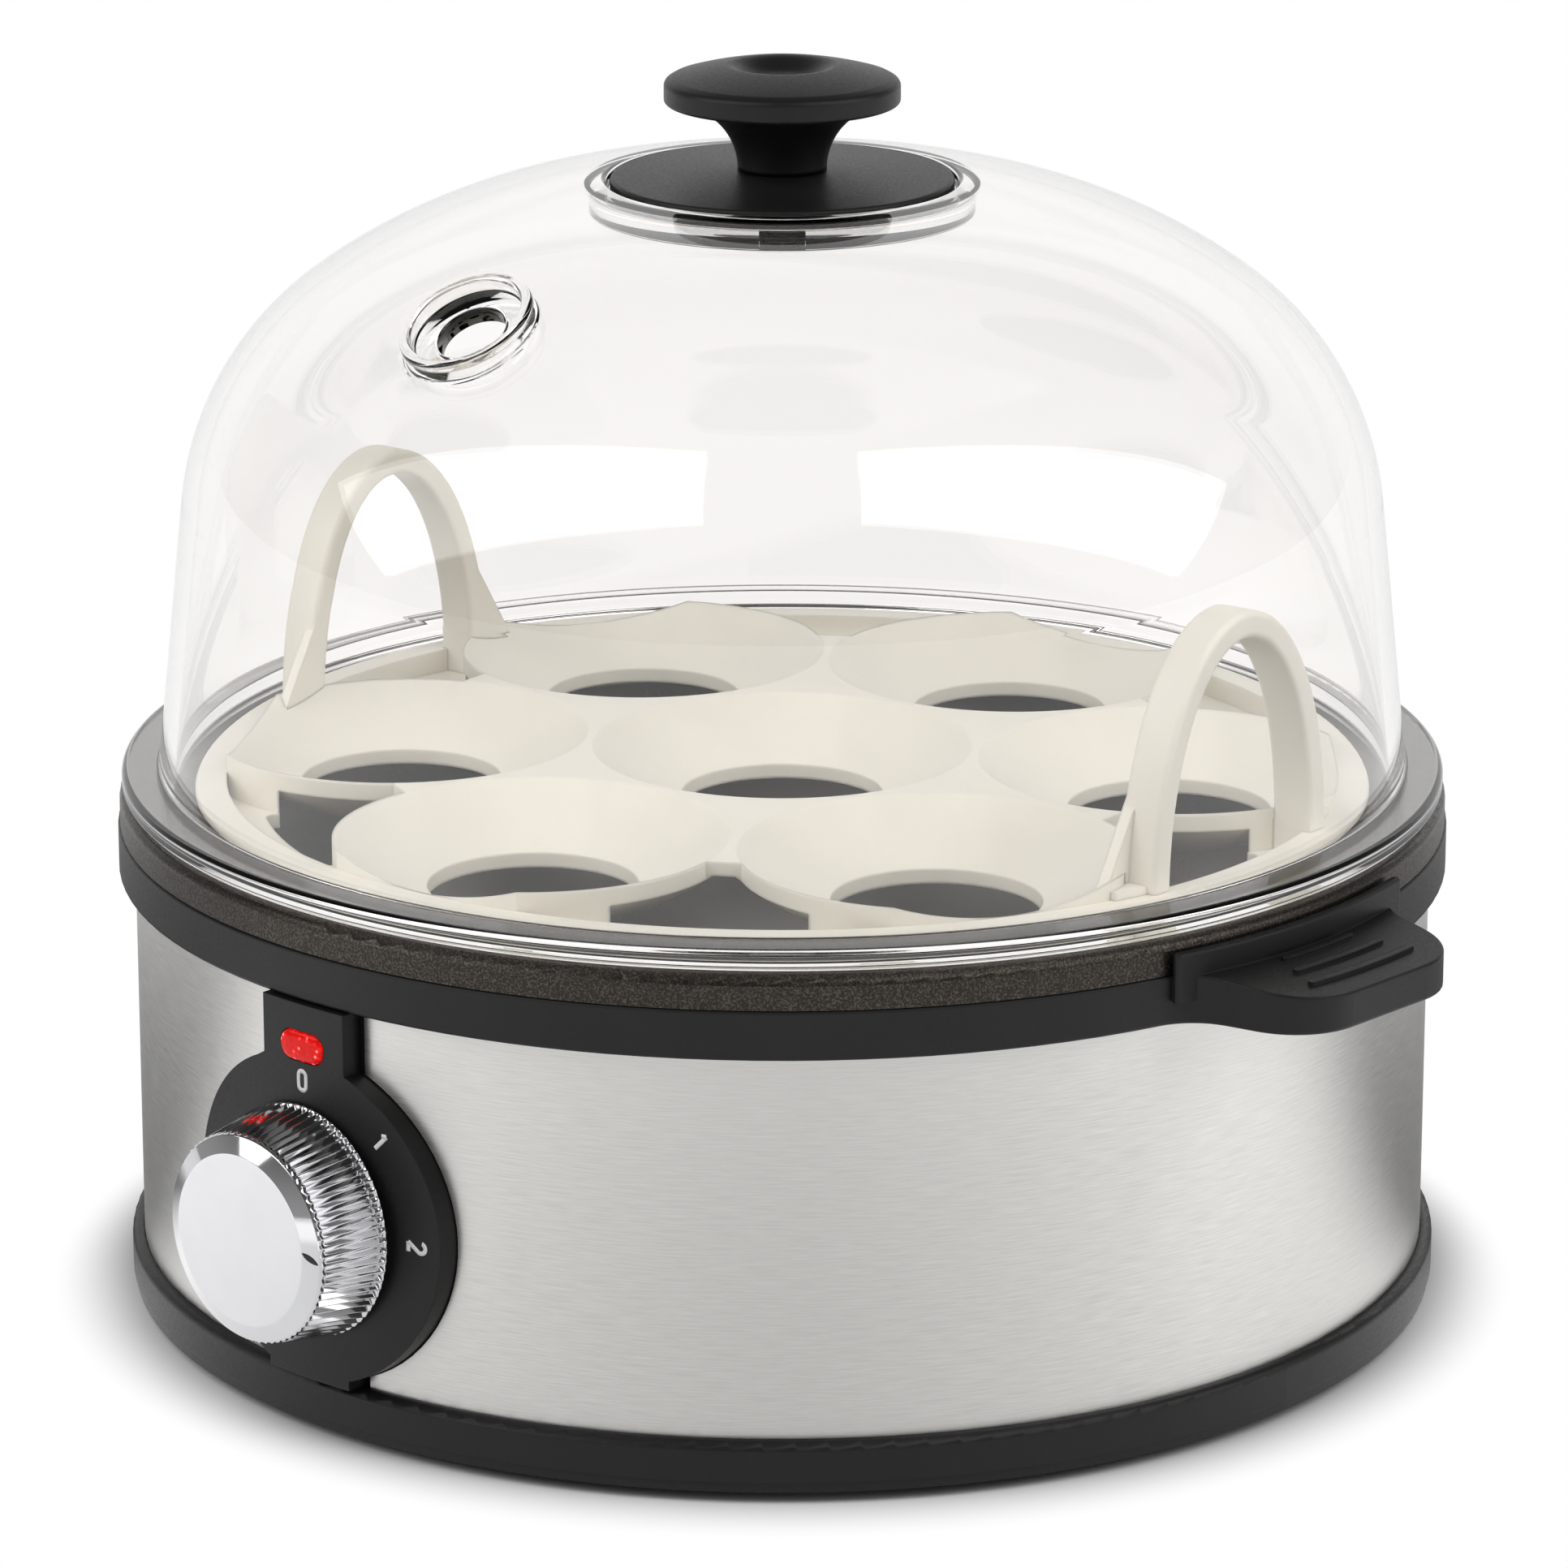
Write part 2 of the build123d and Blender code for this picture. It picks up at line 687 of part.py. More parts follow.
# Washers under two of the shield's screws; the earth lug is under the third
with BuildPart() as shield_washers:
    with BuildSketch(Plane.XY.offset(shield_bottom - washer_thickness)):
        with PolarLocations(shield_boss_circle, 2, start_angle=210, angular_range=240):
            Circle(washer_radius)
            Circle(screw_hole, mode=Mode.SUBTRACT)
    extrude(amount=washer_thickness)

lug_height = shield_bottom - fit_gap - lug_barrel_radius
with BuildPart() as earth_lug:
    with BuildSketch(Plane.XY.offset(shield_bottom - washer_thickness)):
        with Locations((0, shield_boss_circle)):
            Circle(washer_radius)
        with Locations((washer_radius, shield_boss_circle)):
            Rectangle(2 * washer_radius, 2 * lug_barrel_radius)
        with Locations((0, shield_boss_circle)):
            Circle(screw_hole, mode=Mode.SUBTRACT)
    extrude(amount=washer_thickness)
    with BuildSketch(Plane.YZ.offset(washer_radius + lug_barrel_radius)):
        with Locations((shield_boss_circle, lug_height)):
            Circle(lug_barrel_radius)
    extrude(amount=lug_reach - washer_radius - lug_barrel_radius)

# Thermal fuse in a clip under the shield
fuse_height = shield_bottom - fit_gap - fuse_radius
fuse_end_y = fuse_start_y + fuse_length
with BuildPart() as thermal_fuse:
    with BuildSketch(facing(-fuse_start_y, fuse_height)):
        with Locations((fuse_x, 0)):
            Circle(fuse_radius)
    extrude(amount=-fuse_length)
    fillet(thermal_fuse.edges().filter_by(GeomType.CIRCLE), fuse_radius / 2)

clip_bore = fuse_radius + fit_gap
with BuildPart() as fuse_clip:
    with BuildSketch(facing(-(fuse_start_y + fuse_end_y) / 2, fuse_height)):
        with Locations((fuse_x, 0)):
            Circle(clip_bore + clip_thickness)
        with Locations((fuse_x, clip_bore / 2)):
            Rectangle(2 * (clip_bore + clip_thickness), clip_bore)
        with Locations((fuse_x, clip_bore - clip_thickness / 2)):
            Rectangle(2 * (clip_bore + clip_thickness + clip_ear), clip_thickness)
        with Locations((fuse_x, 0)):
            Circle(clip_bore, mode=Mode.SUBTRACT)
        with Locations((fuse_x, clip_bore)):
            Rectangle(2 * clip_bore, 2 * clip_bore, mode=Mode.SUBTRACT)
    extrude(amount=clip_width / 2, both=True)

# Control panel: a curved keyhole pad that stands proud of the band, with a flange behind it
switch_front = liner_inner - switch_seat_depth
nut_seat = panel_face_radius - nut_recess
lens_seat = sqrt(liner_inner**2 - (lens_width / 2 + lens_flange) ** 2)
flange_bottom = floor_top + upstand_height + fit_gap
with BuildPart() as panel_pad:
    with BuildSketch(facing(0, dial_height)):
        Circle(panel_pad_radius)
        with Locations((0, (ring_bottom + cover_top) / 2 - dial_height)):
            Rectangle(2 * panel_neck_half_width, band_height - 2 * fit_gap)
    extrude(amount=2 * panel_face_radius)
    with BuildSketch(Plane.XY):
        Circle(panel_face_radius)
        Circle(liner_outer, mode=Mode.SUBTRACT)
    extrude(amount=ring_top, mode=Mode.INTERSECT)
    face_edges = panel_pad.faces().filter_by(GeomType.CYLINDER).sort_by(SortBy.AREA)[-1].edges()
    fillet(face_edges, panel_edge_round)

with BuildPart() as control_panel:
    with BuildSketch(facing(0, (flange_bottom + ring_bottom) / 2)):
        Rectangle(2 * panel_flange_half_width, ring_bottom - flange_bottom - 2 * fit_gap)
    extrude(amount=2 * panel_face_radius)
    with BuildSketch(Plane.XY):
        Circle(liner_outer)
        Circle(liner_inner, mode=Mode.SUBTRACT)
    extrude(amount=ring_top, mode=Mode.INTERSECT)
    with BuildSketch(facing(switch_front, dial_height)):
        Rectangle(switch_width, switch_width)
    extrude(amount=switch_seat_depth + liner_wall / 2)
    add(panel_pad.part)
    with BuildSketch(facing(0, dial_height)):
        Circle(bush_radius + fit_gap)
    extrude(amount=2 * panel_face_radius, mode=Mode.SUBTRACT)
    with BuildSketch(facing(nut_seat, dial_height)):
        Circle(nut_flats / sqrt(3) + nut_recess_gap)
    extrude(amount=nut_recess + fit_gap, mode=Mode.SUBTRACT)
    with BuildSketch(facing(0, lamp_height)):
        SlotOverall(lens_width + 2 * fit_gap, lens_height + 2 * fit_gap)
    extrude(amount=2 * panel_face_radius, mode=Mode.SUBTRACT)

# Lamp lens, pushed in from behind against its flange
with BuildPart() as lamp_lens:
    with BuildSketch(facing(lens_seat, lamp_height)):
        SlotOverall(lens_width, lens_height)
    extrude(amount=panel_face_radius + lens_proud - lens_seat)
    fillet(lamp_lens.faces().sort_by(Axis.Y)[0].edges(), lens_edge_round)
    with BuildSketch(facing(lens_seat, lamp_height)):
        SlotOverall(lens_width + 2 * lens_flange, lens_height + 2 * lens_flange)
    extrude(amount=-lens_flange)

# Neon lamp, upright behind the lens, in a sleeve whose pad stands against the lens flange
holder_radius = lamp_radius + fit_gap + holder_wall
holder_front = lens_seat - lens_flange
lamp_y = -(holder_front - holder_pad - holder_radius + holder_wall)
switch_top = dial_height + switch_width / 2
holder_bottom = lamp_height + lens_height / 2 - holder_length
with BuildPart() as lamp_holder:
    with BuildSketch(Plane.XY.offset(holder_bottom)):
        with Locations((0, lamp_y)):
            Circle(holder_radius)
        with Locations((0, (lamp_y - holder_front) / 2)):
            Rectangle(2 * holder_radius, holder_front + lamp_y)
        with Locations((0, lamp_y)):
            Circle(lamp_radius + fit_gap, mode=Mode.SUBTRACT)
    extrude(amount=holder_length)

lamp_top = lamp_height + lens_height / 2
with BuildPart() as neon_lamp:
    with BuildSketch(Plane.XY.offset(lamp_top - lamp_length)):
        with Locations((0, lamp_y)):
            Circle(lamp_radius)
    extrude(amount=lamp_length)
    fillet(neon_lamp.edges().filter_by(GeomType.CIRCLE).sort_by(Axis.Z)[-1], lamp_radius / 2)
    with BuildSketch(Plane.XY.offset(switch_top)):
        with Locations((0, lamp_y)):
            with GridLocations(lamp_pin_spacing, 0, 2, 1):
                Circle(lamp_pin_radius)
    extrude(amount=lamp_top - lamp_length - switch_top + weld_overlap)

# Rotary switch: a square body behind the panel, with a threaded bush through it and two blades
switch_back = switch_front - switch_depth
bush_front = nut_seat + nut_thickness + bush_proud
with BuildPart() as rotary_switch:
    with BuildSketch(facing(switch_back, dial_height)):
        RectangleRounded(switch_width, switch_width, switch_corner)
    extrude(amount=switch_depth)
    with BuildSketch(facing(switch_front, dial_height)):
        Circle(bush_radius)
    extrude(amount=bush_front - switch_front)
    with BuildSketch(facing(switch_back + shaft_tail, dial_height)):
        Circle(shaft_radius + run_gap)
    extrude(amount=bush_front - switch_back, mode=Mode.SUBTRACT)
    with BuildSketch(facing(switch_back, dial_height)):
        with Locations(*switch_blade_places):
            Rectangle(blade_thickness, switch_blade_width)
    extrude(amount=-switch_blade_length)

with BuildPart() as switch_nut:
    with BuildSketch(facing(nut_seat, dial_height)):
        RegularPolygon(nut_flats / sqrt(3), 6)
        Circle(bush_radius + fit_gap, mode=Mode.SUBTRACT)
    extrude(amount=nut_thickness)

# Shaft, with a flat where the knob drives it
knob_back = panel_face_radius + dial_gap
knob_shoulder = knob_back + knob_depth
knob_face = knob_shoulder + knob_bevel
hub_back = bush_front + dial_gap
shaft_front = knob_face - knob_tip_wall
with BuildPart() as switch_shaft:
    with BuildSketch(facing(switch_back + shaft_tail + dial_gap, dial_height)):
        Circle(shaft_radius)
    extrude(amount=shaft_front - switch_back - shaft_tail - dial_gap)
    with BuildSketch(facing(hub_back, dial_height)):
        with Locations((0, shaft_flat + shaft_radius)):
            Rectangle(4 * shaft_radius, 2 * shaft_radius)
    extrude(amount=shaft_front - hub_back, mode=Mode.SUBTRACT)

# Dial knob: a knurled skirt that narrows to a bevelled face, hollow behind, with a hub for the shaft
leaf_room = leaf_thickness + 2 * run_gap
knob_cavity_radius = knob_front_radius - knob_skirt_wall
knob_face_radius = knob_front_radius - knob_bevel_width
knurl_step = pi / knurl_count
with BuildPart() as dial_knob:
    for distance, radius in ((knob_back, knob_back_radius), (knob_shoulder, knob_front_radius)):
        with BuildSketch(facing(distance, dial_height)):
            with BuildLine():
                Polyline(
                    *[
                        (
                            (radius - knurl_depth * (tooth % 2)) * cos(tooth * knurl_step),
                            (radius - knurl_depth * (tooth % 2)) * sin(tooth * knurl_step),
                        )
                        for tooth in range(2 * knurl_count)
                    ],
                    close=True,
                )
            make_face()
    loft(ruled=True)
    for distance, radius in ((knob_shoulder, knob_front_radius - knurl_depth), (knob_face, knob_face_radius)):
        with BuildSketch(facing(distance, dial_height)):
            Circle(radius)
    loft()
    with BuildSketch(facing(knob_back, dial_height)):
        Circle(knob_cavity_radius)
    extrude(amount=knob_face - knob_face_wall - knob_back, mode=Mode.SUBTRACT)
    with BuildSketch(facing(hub_back, dial_height)):
        Circle(hub_radius)
    extrude(amount=knob_face - knob_face_wall - hub_back + weld_overlap)
    with BuildSketch(facing(hub_back, dial_height)):
        Circle(shaft_radius + fit_gap)
        with Locations((0, shaft_flat + leaf_room + shaft_radius)):
            Rectangle(4 * shaft_radius, 2 * shaft_radius, mode=Mode.SUBTRACT)
    extrude(amount=shaft_front + fit_gap - hub_back, mode=Mode.SUBTRACT)

# Leaf spring between the shaft's flat and the hub
with BuildPart() as knob_clip:
    with BuildSketch(facing(hub_back, dial_height)):
        with Locations((0, shaft_flat + leaf_room / 2)):
            Rectangle(leaf_width, leaf_thickness)
    extrude(amount=leaf_length)

# Egg tray: dished seats on a shell, with drain slots between them, a rim and two lifting arches
tray_bottom = bowl_floor + tray_clear
tray_cap = tray_top + tray_cap_rise
tray_wall_outer = bowl_radius - guide_gap
tray_wall_inner = tray_wall_outer - tray_wall
ledge_top = tray_top - tray_ledge_drop
slot_outer = tray_wall_inner - tray_ledge_width
seat_circle = tray_wall_inner - seat_inset
seat_edge = (seat_circle - seat_ridge) / 2
seat_dish = seat_depth + tray_cap_rise
seat_sphere = (seat_edge**2 + seat_dish**2) / (2 * seat_dish)
seat_centre = tray_top - seat_depth + seat_sphere
slot_start = seat_circle * cos(radians(30)) + slot_clear
arch_start = tray_wall_inner - arch_inset
arch_foot_reach = arch_half_width + arch_foot_flare
seat_places = [(0, 0, seat_centre)]
for count in range(6):
    seat_places.append(polar(seat_circle, tray_turn + 30 + 60 * count, seat_centre))
seat_plan = [(x, y) for x, y, z in seat_places]

with BuildPart() as under_tray:
    with BuildSketch(Plane.XY.offset(tray_bottom)):
        Circle(tray_wall_inner)
    extrude(amount=ledge_top - tray_shell - tray_bottom)
    with BuildSketch(Plane.XY.offset(tray_bottom)):
        Circle(slot_outer - tray_shell)
    extrude(amount=tray_cap - tray_shell - tray_bottom)
    with Locations(*seat_places):
        Sphere(seat_sphere + tray_shell, mode=Mode.SUBTRACT)

with BuildPart() as egg_tray:
    with BuildSketch(Plane.XY.offset(tray_bottom)):
        Circle(tray_wall_outer)
    extrude(amount=tray_top - tray_bottom)
    with BuildSketch(Plane.XY.offset(tray_bottom)):
        Circle(tray_wall_inner)
    extrude(amount=tray_cap - tray_bottom)
    with BuildSketch(Plane.XY.offset(tray_flange_bottom)):
        Circle(tray_rim_radius)
    extrude(amount=tray_rim_thickness)
    rim_edge = egg_tray.edges().filter_by(
        lambda edge: edge.geom_type == GeomType.CIRCLE and abs(edge.radius - tray_rim_radius) < fit_gap
    )
    fillet(rim_edge, tray_rim_round)
    add(under_tray.part, mode=Mode.SUBTRACT)
    with Locations(*seat_places):
        Sphere(seat_sphere, mode=Mode.SUBTRACT)
    with BuildSketch(Plane.XY.offset(ledge_top)):
        Circle(tray_wall_inner)
        Circle(slot_start, mode=Mode.SUBTRACT)
        with Locations(*seat_plan):
            Circle(seat_edge, mode=Mode.SUBTRACT)
    extrude(amount=tray_cap - ledge_top, mode=Mode.SUBTRACT)
    with BuildSketch(Plane.XY.offset(tray_bottom)) as slots:
        Circle(slot_outer)
        Circle(slot_start, mode=Mode.SUBTRACT)
        with Locations(*seat_plan):
            Circle(seat_edge, mode=Mode.SUBTRACT)
        fillet(slots.vertices(), slot_round)
    extrude(amount=tray_cap - tray_bottom, mode=Mode.SUBTRACT)
    with BuildSketch(Plane.XY.offset(tray_bottom)):
        with Locations(*seat_plan):
            Circle(seat_hole_radius)
    extrude(amount=tray_cap - tray_bottom, mode=Mode.SUBTRACT)

arch_planes = [
    Plane(
        origin=polar(arch_start, tray_turn + turn, tray_top),
        x_dir=polar(1, tray_turn + turn + 90, 0),
        z_dir=polar(1, tray_turn + turn, 0),
    )
    for turn in (0, 180)
]
with BuildPart() as arch_bars:
    for plane in arch_planes:
        with BuildSketch(plane):
            Ellipse(arch_half_width, arch_height)
            Ellipse(arch_half_width - arch_bar, arch_height - arch_bar, mode=Mode.SUBTRACT)
            with Locations((0, -tray_rim_thickness)):
                Rectangle(
                    4 * arch_half_width, 2 * arch_height, align=(Align.CENTER, Align.MIN), mode=Mode.INTERSECT
                )
        extrude(amount=arch_depth)
    fillet(arch_bars.edges().filter_by(GeomType.ELLIPSE), arch_edge_round)

with BuildPart() as tray_arches:
    add(arch_bars.part)
    for plane in arch_planes:
        for side in (1, -1):
            with BuildSketch(plane):
                with BuildLine():
                    Polyline(
                        (side * (arch_half_width - arch_bar / 2), gusset_height),
                        (side * arch_foot_reach, arch_foot_rise),
                        (side * arch_foot_reach, -tray_ledge_drop),
                        (side * (arch_half_width - arch_bar / 2), -tray_ledge_drop),
                        close=True,
                    )
                make_face()
            extrude(amount=gusset_thickness)
    with BuildSketch(Plane.XY.offset(ledge_top - weld_overlap)):
        for turn in (0, 180):
            with PolarLocations(arch_start + arch_depth / 2, 1, start_angle=tray_turn + turn):
                with GridLocations(0, arch_half_width - arch_bar + arch_foot_reach, 1, 2):
                    Rectangle(arch_depth, arch_foot_reach - arch_half_width + arch_bar)
        Circle(tray_wall_inner + tray_wall / 2, mode=Mode.INTERSECT)
    extrude(amount=tray_ledge_drop + weld_overlap + arch_foot_rise)
    add(egg_tray.part, mode=Mode.SUBTRACT)

# Lid dome: a drafted wall, a shoulder arc and a flatter crown, with a flange and a knob recess
draft = radians(dome_draft)
turn = radians(dome_shoulder_angle)
lid_flange_top = lid_bottom + lid_flange_height
wall_top = (dome_radius - dome_wall_height * sin(draft) / cos(draft), lid_flange_top + dome_wall_height)
shoulder_centre = (
    wall_top[0] - dome_shoulder_radius * cos(draft),
    wall_top[1] - dome_shoulder_radius * sin(draft),
)
crown_shift = dome_shoulder_radius - dome_crown_radius
crown_centre = (
    shoulder_centre[0] + crown_shift * cos(turn),
    shoulder_centre[1] + crown_shift * sin(turn),
)


def on_dome(centre, radius, angle):
    """Point of the dome's profile at a radius from an arc's centre, at an angle above level."""
    return (centre[0] + radius * cos(angle), centre[1] + radius * sin(angle))


def crown_height(radius, depth):
    """Height of the crown at a radius from the axis, at a depth below the outer surface."""
    return crown_centre[1] + sqrt((dome_crown_radius - depth) ** 2 - (radius - crown_centre[0]) ** 2)


def crown_angle(radius, depth):
    """Angle above level of the crown's point at a radius from the axis."""
    return pi / 2 - asin((radius - crown_centre[0]) / (dome_crown_radius - depth))


vent_circle = dome_radius - vent_inset
recess_radius = knob_disc_radius + guide_gap
recess_outer = recess_radius + lid_wall
recess_floor = crown_height(recess_outer, 0) - recess_depth
recess_under = recess_floor - lid_wall
inner_foot = (
    dome_radius + lid_flange_height * sin(draft) / cos(draft) - lid_wall / cos(draft),
    lid_bottom,
)
lid_screw_hole = lid_screw_radius + fit_gap
vent_lean = asin((vent_circle - crown_centre[0]) / dome_crown_radius)
vent_plane = Plane(
    origin=(0, -vent_circle, crown_height(vent_circle, 0)),
    x_dir=(1, 0, 0),
    z_dir=(0, -sin(vent_lean), cos(vent_lean)),
)
with BuildPart() as lid_dome:
    with BuildSketch(Plane.XZ):
        with BuildLine():
            Polyline(inner_foot, (lid_flange_radius, lid_bottom), (lid_flange_radius, lid_flange_top))
            Polyline((lid_flange_radius, lid_flange_top), (dome_radius, lid_flange_top), wall_top)
            ThreePointArc(
                wall_top,
                on_dome(shoulder_centre, dome_shoulder_radius, (draft + turn) / 2),
                on_dome(shoulder_centre, dome_shoulder_radius, turn),
            )
            crown_end = crown_angle(recess_outer, 0)
            ThreePointArc(
                on_dome(shoulder_centre, dome_shoulder_radius, turn),
                on_dome(crown_centre, dome_crown_radius, (turn + crown_end) / 2),
                on_dome(crown_centre, dome_crown_radius, crown_end),
            )
            under_end = crown_angle(recess_outer, lid_wall)
            Polyline(
                on_dome(crown_centre, dome_crown_radius, crown_end),
                (recess_radius, crown_height(recess_outer, 0)),
                (recess_radius, recess_floor),
                (lid_screw_hole, recess_floor),
                (lid_screw_hole, recess_under),
                (recess_outer, recess_under),
                on_dome(crown_centre, dome_crown_radius - lid_wall, under_end),
            )
            ThreePointArc(
                on_dome(crown_centre, dome_crown_radius - lid_wall, under_end),
                on_dome(crown_centre, dome_crown_radius - lid_wall, (turn + under_end) / 2),
                on_dome(shoulder_centre, dome_shoulder_radius - lid_wall, turn),
            )
            ThreePointArc(
                on_dome(shoulder_centre, dome_shoulder_radius - lid_wall, turn),
                on_dome(shoulder_centre, dome_shoulder_radius - lid_wall, (draft + turn) / 2),
                on_dome(shoulder_centre, dome_shoulder_radius - lid_wall, draft),
            )
            Line(on_dome(shoulder_centre, dome_shoulder_radius - lid_wall, draft), inner_foot)
        make_face()
    revolve(axis=Axis.Z)
    flange_edges = lid_dome.edges().filter_by(
        lambda edge: edge.geom_type == GeomType.CIRCLE and abs(edge.radius - lid_flange_radius) < fit_gap
    )
    fillet(flange_edges, lid_flange_round)
    lip_edge = lid_dome.edges().filter_by(
        lambda edge: edge.geom_type == GeomType.CIRCLE
        and abs(edge.radius - recess_radius) < fit_gap
        and edge.center().Z > recess_floor + fit_gap
    )
    fillet(lip_edge, recess_lip_round)
    with BuildSketch(vent_plane.offset(-lid_wall / 2)):
        Circle(vent_boss_radius)
    extrude(amount=lid_wall / 2 + vent_boss_height)
    boss_edge = lid_dome.edges().filter_by(GeomType.CIRCLE).filter_by(
        lambda edge: abs(edge.radius - vent_boss_radius) < fit_gap
    )
    fillet(boss_edge, vent_edge_round)
    for depth, radius in ((-vent_boss_height, vent_dish_radius), (lid_wall / 2, vent_hole_radius)):
        with BuildSketch(vent_plane.offset(-depth)):
            Circle(radius)
    loft(mode=Mode.SUBTRACT)
    with BuildSketch(vent_plane.offset(vent_boss_height)):
        Circle(vent_hole_radius)
    extrude(amount=-(vent_boss_height + 3 * lid_wall), mode=Mode.SUBTRACT)

# Lid knob: a disc in the recess, and a grip on a flared stem, pulled down by one screw
disc_top = recess_floor + knob_disc_height
grip_bottom = disc_top + stem_height
grip_top = grip_bottom + grip_side
crown_edge = grip_top + grip_edge
knob_top = crown_edge + grip_crown
dimple_bottom = knob_top - dimple_depth
dimple_sphere = (dimple_radius**2 + dimple_depth**2) / (2 * dimple_depth)
dimple_half = sqrt(dimple_sphere**2 - dimple_radius**2 / 4)
with BuildPart() as lid_knob_base:
    with BuildSketch(Plane.XZ):
        with BuildLine():
            Polyline(
                (lid_screw_hole, disc_top),
                (lid_screw_hole, recess_floor),
                (knob_disc_radius, recess_floor),
                (knob_disc_radius, recess_floor + knob_disc_edge),
                (stem_foot_radius, disc_top),
                close=True,
            )
        make_face()
    revolve(axis=Axis.Z)

with BuildPart() as lid_knob:
    with BuildSketch(Plane.XZ):
        with BuildLine():
            Polyline(
                (lid_screw_hole, disc_top + lid_screw_reach + fit_gap),
                (lid_screw_hole, disc_top),
                (stem_foot_radius, disc_top),
            )
            TangentArc((stem_foot_radius, disc_top), (grip_radius, grip_bottom), tangent=(0, 1))
            Line((grip_radius, grip_bottom), (grip_radius, grip_top))
            TangentArc((grip_radius, grip_top), (grip_radius - grip_edge, crown_edge), tangent=(0, 1))
            Line((grip_radius - grip_edge, crown_edge), (dimple_radius, knob_top))
            ThreePointArc(
                (dimple_radius, knob_top),
                (dimple_radius / 2, dimple_bottom + dimple_sphere - dimple_half),
                (0, dimple_bottom),
            )
            Polyline(
                (0, dimple_bottom),
                (0, disc_top + lid_screw_reach + fit_gap),
                (lid_screw_hole, disc_top + lid_screw_reach + fit_gap),
            )
        make_face()
    revolve(axis=Axis.Z)

with BuildPart() as lid_washer:
    with BuildSketch(Plane.XY.offset(recess_under)):
        Circle(lid_washer_radius)
        Circle(lid_screw_hole, mode=Mode.SUBTRACT)
    extrude(amount=-lid_washer_thickness)

lid_head_top = recess_under - lid_washer_thickness
with BuildPart() as lid_screw:
    with BuildSketch(Plane.XY.offset(lid_head_top)):
        Circle(lid_screw_head_radius)
    extrude(amount=-lid_screw_head_height)
    fillet(lid_screw.edges().filter_by(GeomType.CIRCLE).sort_by(Axis.Z)[0], lid_screw_head_height / 2)
    with BuildSketch(Plane.XY.offset(lid_head_top)):
        Circle(lid_screw_radius)
    extrude(amount=disc_top + lid_screw_reach - lid_head_top)
    with BuildSketch(Plane.XY.offset(lid_head_top - lid_screw_head_height)):
        Rectangle(3 * lid_screw_head_radius, screw_slot_width)
    extrude(amount=screw_slot_depth, mode=Mode.SUBTRACT)

# Cord gland: a rubber bush whose groove holds the edge of the band's rear hole
gland_outer_face = band_radius + gland_outer_flange
gland_inner_face = band_radius - band_thickness - gland_inner_flange
with BuildPart() as band_groove:
    with BuildSketch(Plane.XY):
        Circle(band_radius)
        Circle(band_radius - band_thickness, mode=Mode.SUBTRACT)
    extrude(amount=ring_top)
    with BuildSketch(facing(0, gland_height)):
        Circle(gland_neck_radius)
    extrude(amount=-2 * band_radius, mode=Mode.SUBTRACT)

with BuildPart() as cord_gland:
    with BuildSketch(facing(-gland_inner_face, gland_height)):
        Circle(gland_flange_radius)
        Circle(gland_bore_radius, mode=Mode.SUBTRACT)
    extrude(amount=-(gland_outer_face - gland_inner_face))
    add(band_groove.part, mode=Mode.SUBTRACT)

# Terminal block on the cover's floor, with three ways through it and a screw over each
block_y = liner_inner - block_inset
block_ways = [block_x + block_way_spacing * way for way in (-1, 0, 1)]
block_front = block_y - block_depth / 2
way_height = floor_top + block_height / 2
with BuildPart() as terminal_block:
    with BuildSketch(Plane.XY.offset(floor_top)):
        with Locations((block_x, block_y)):
            Rectangle(block_width, block_depth)
    extrude(amount=block_height)
    with BuildSketch(Plane.XY.offset(floor_top + block_height)):
        with Locations(*[(way, block_y) for way in block_ways]):
            Circle(block_way_radius)
    extrude(amount=-block_screw_depth, mode=Mode.SUBTRACT)

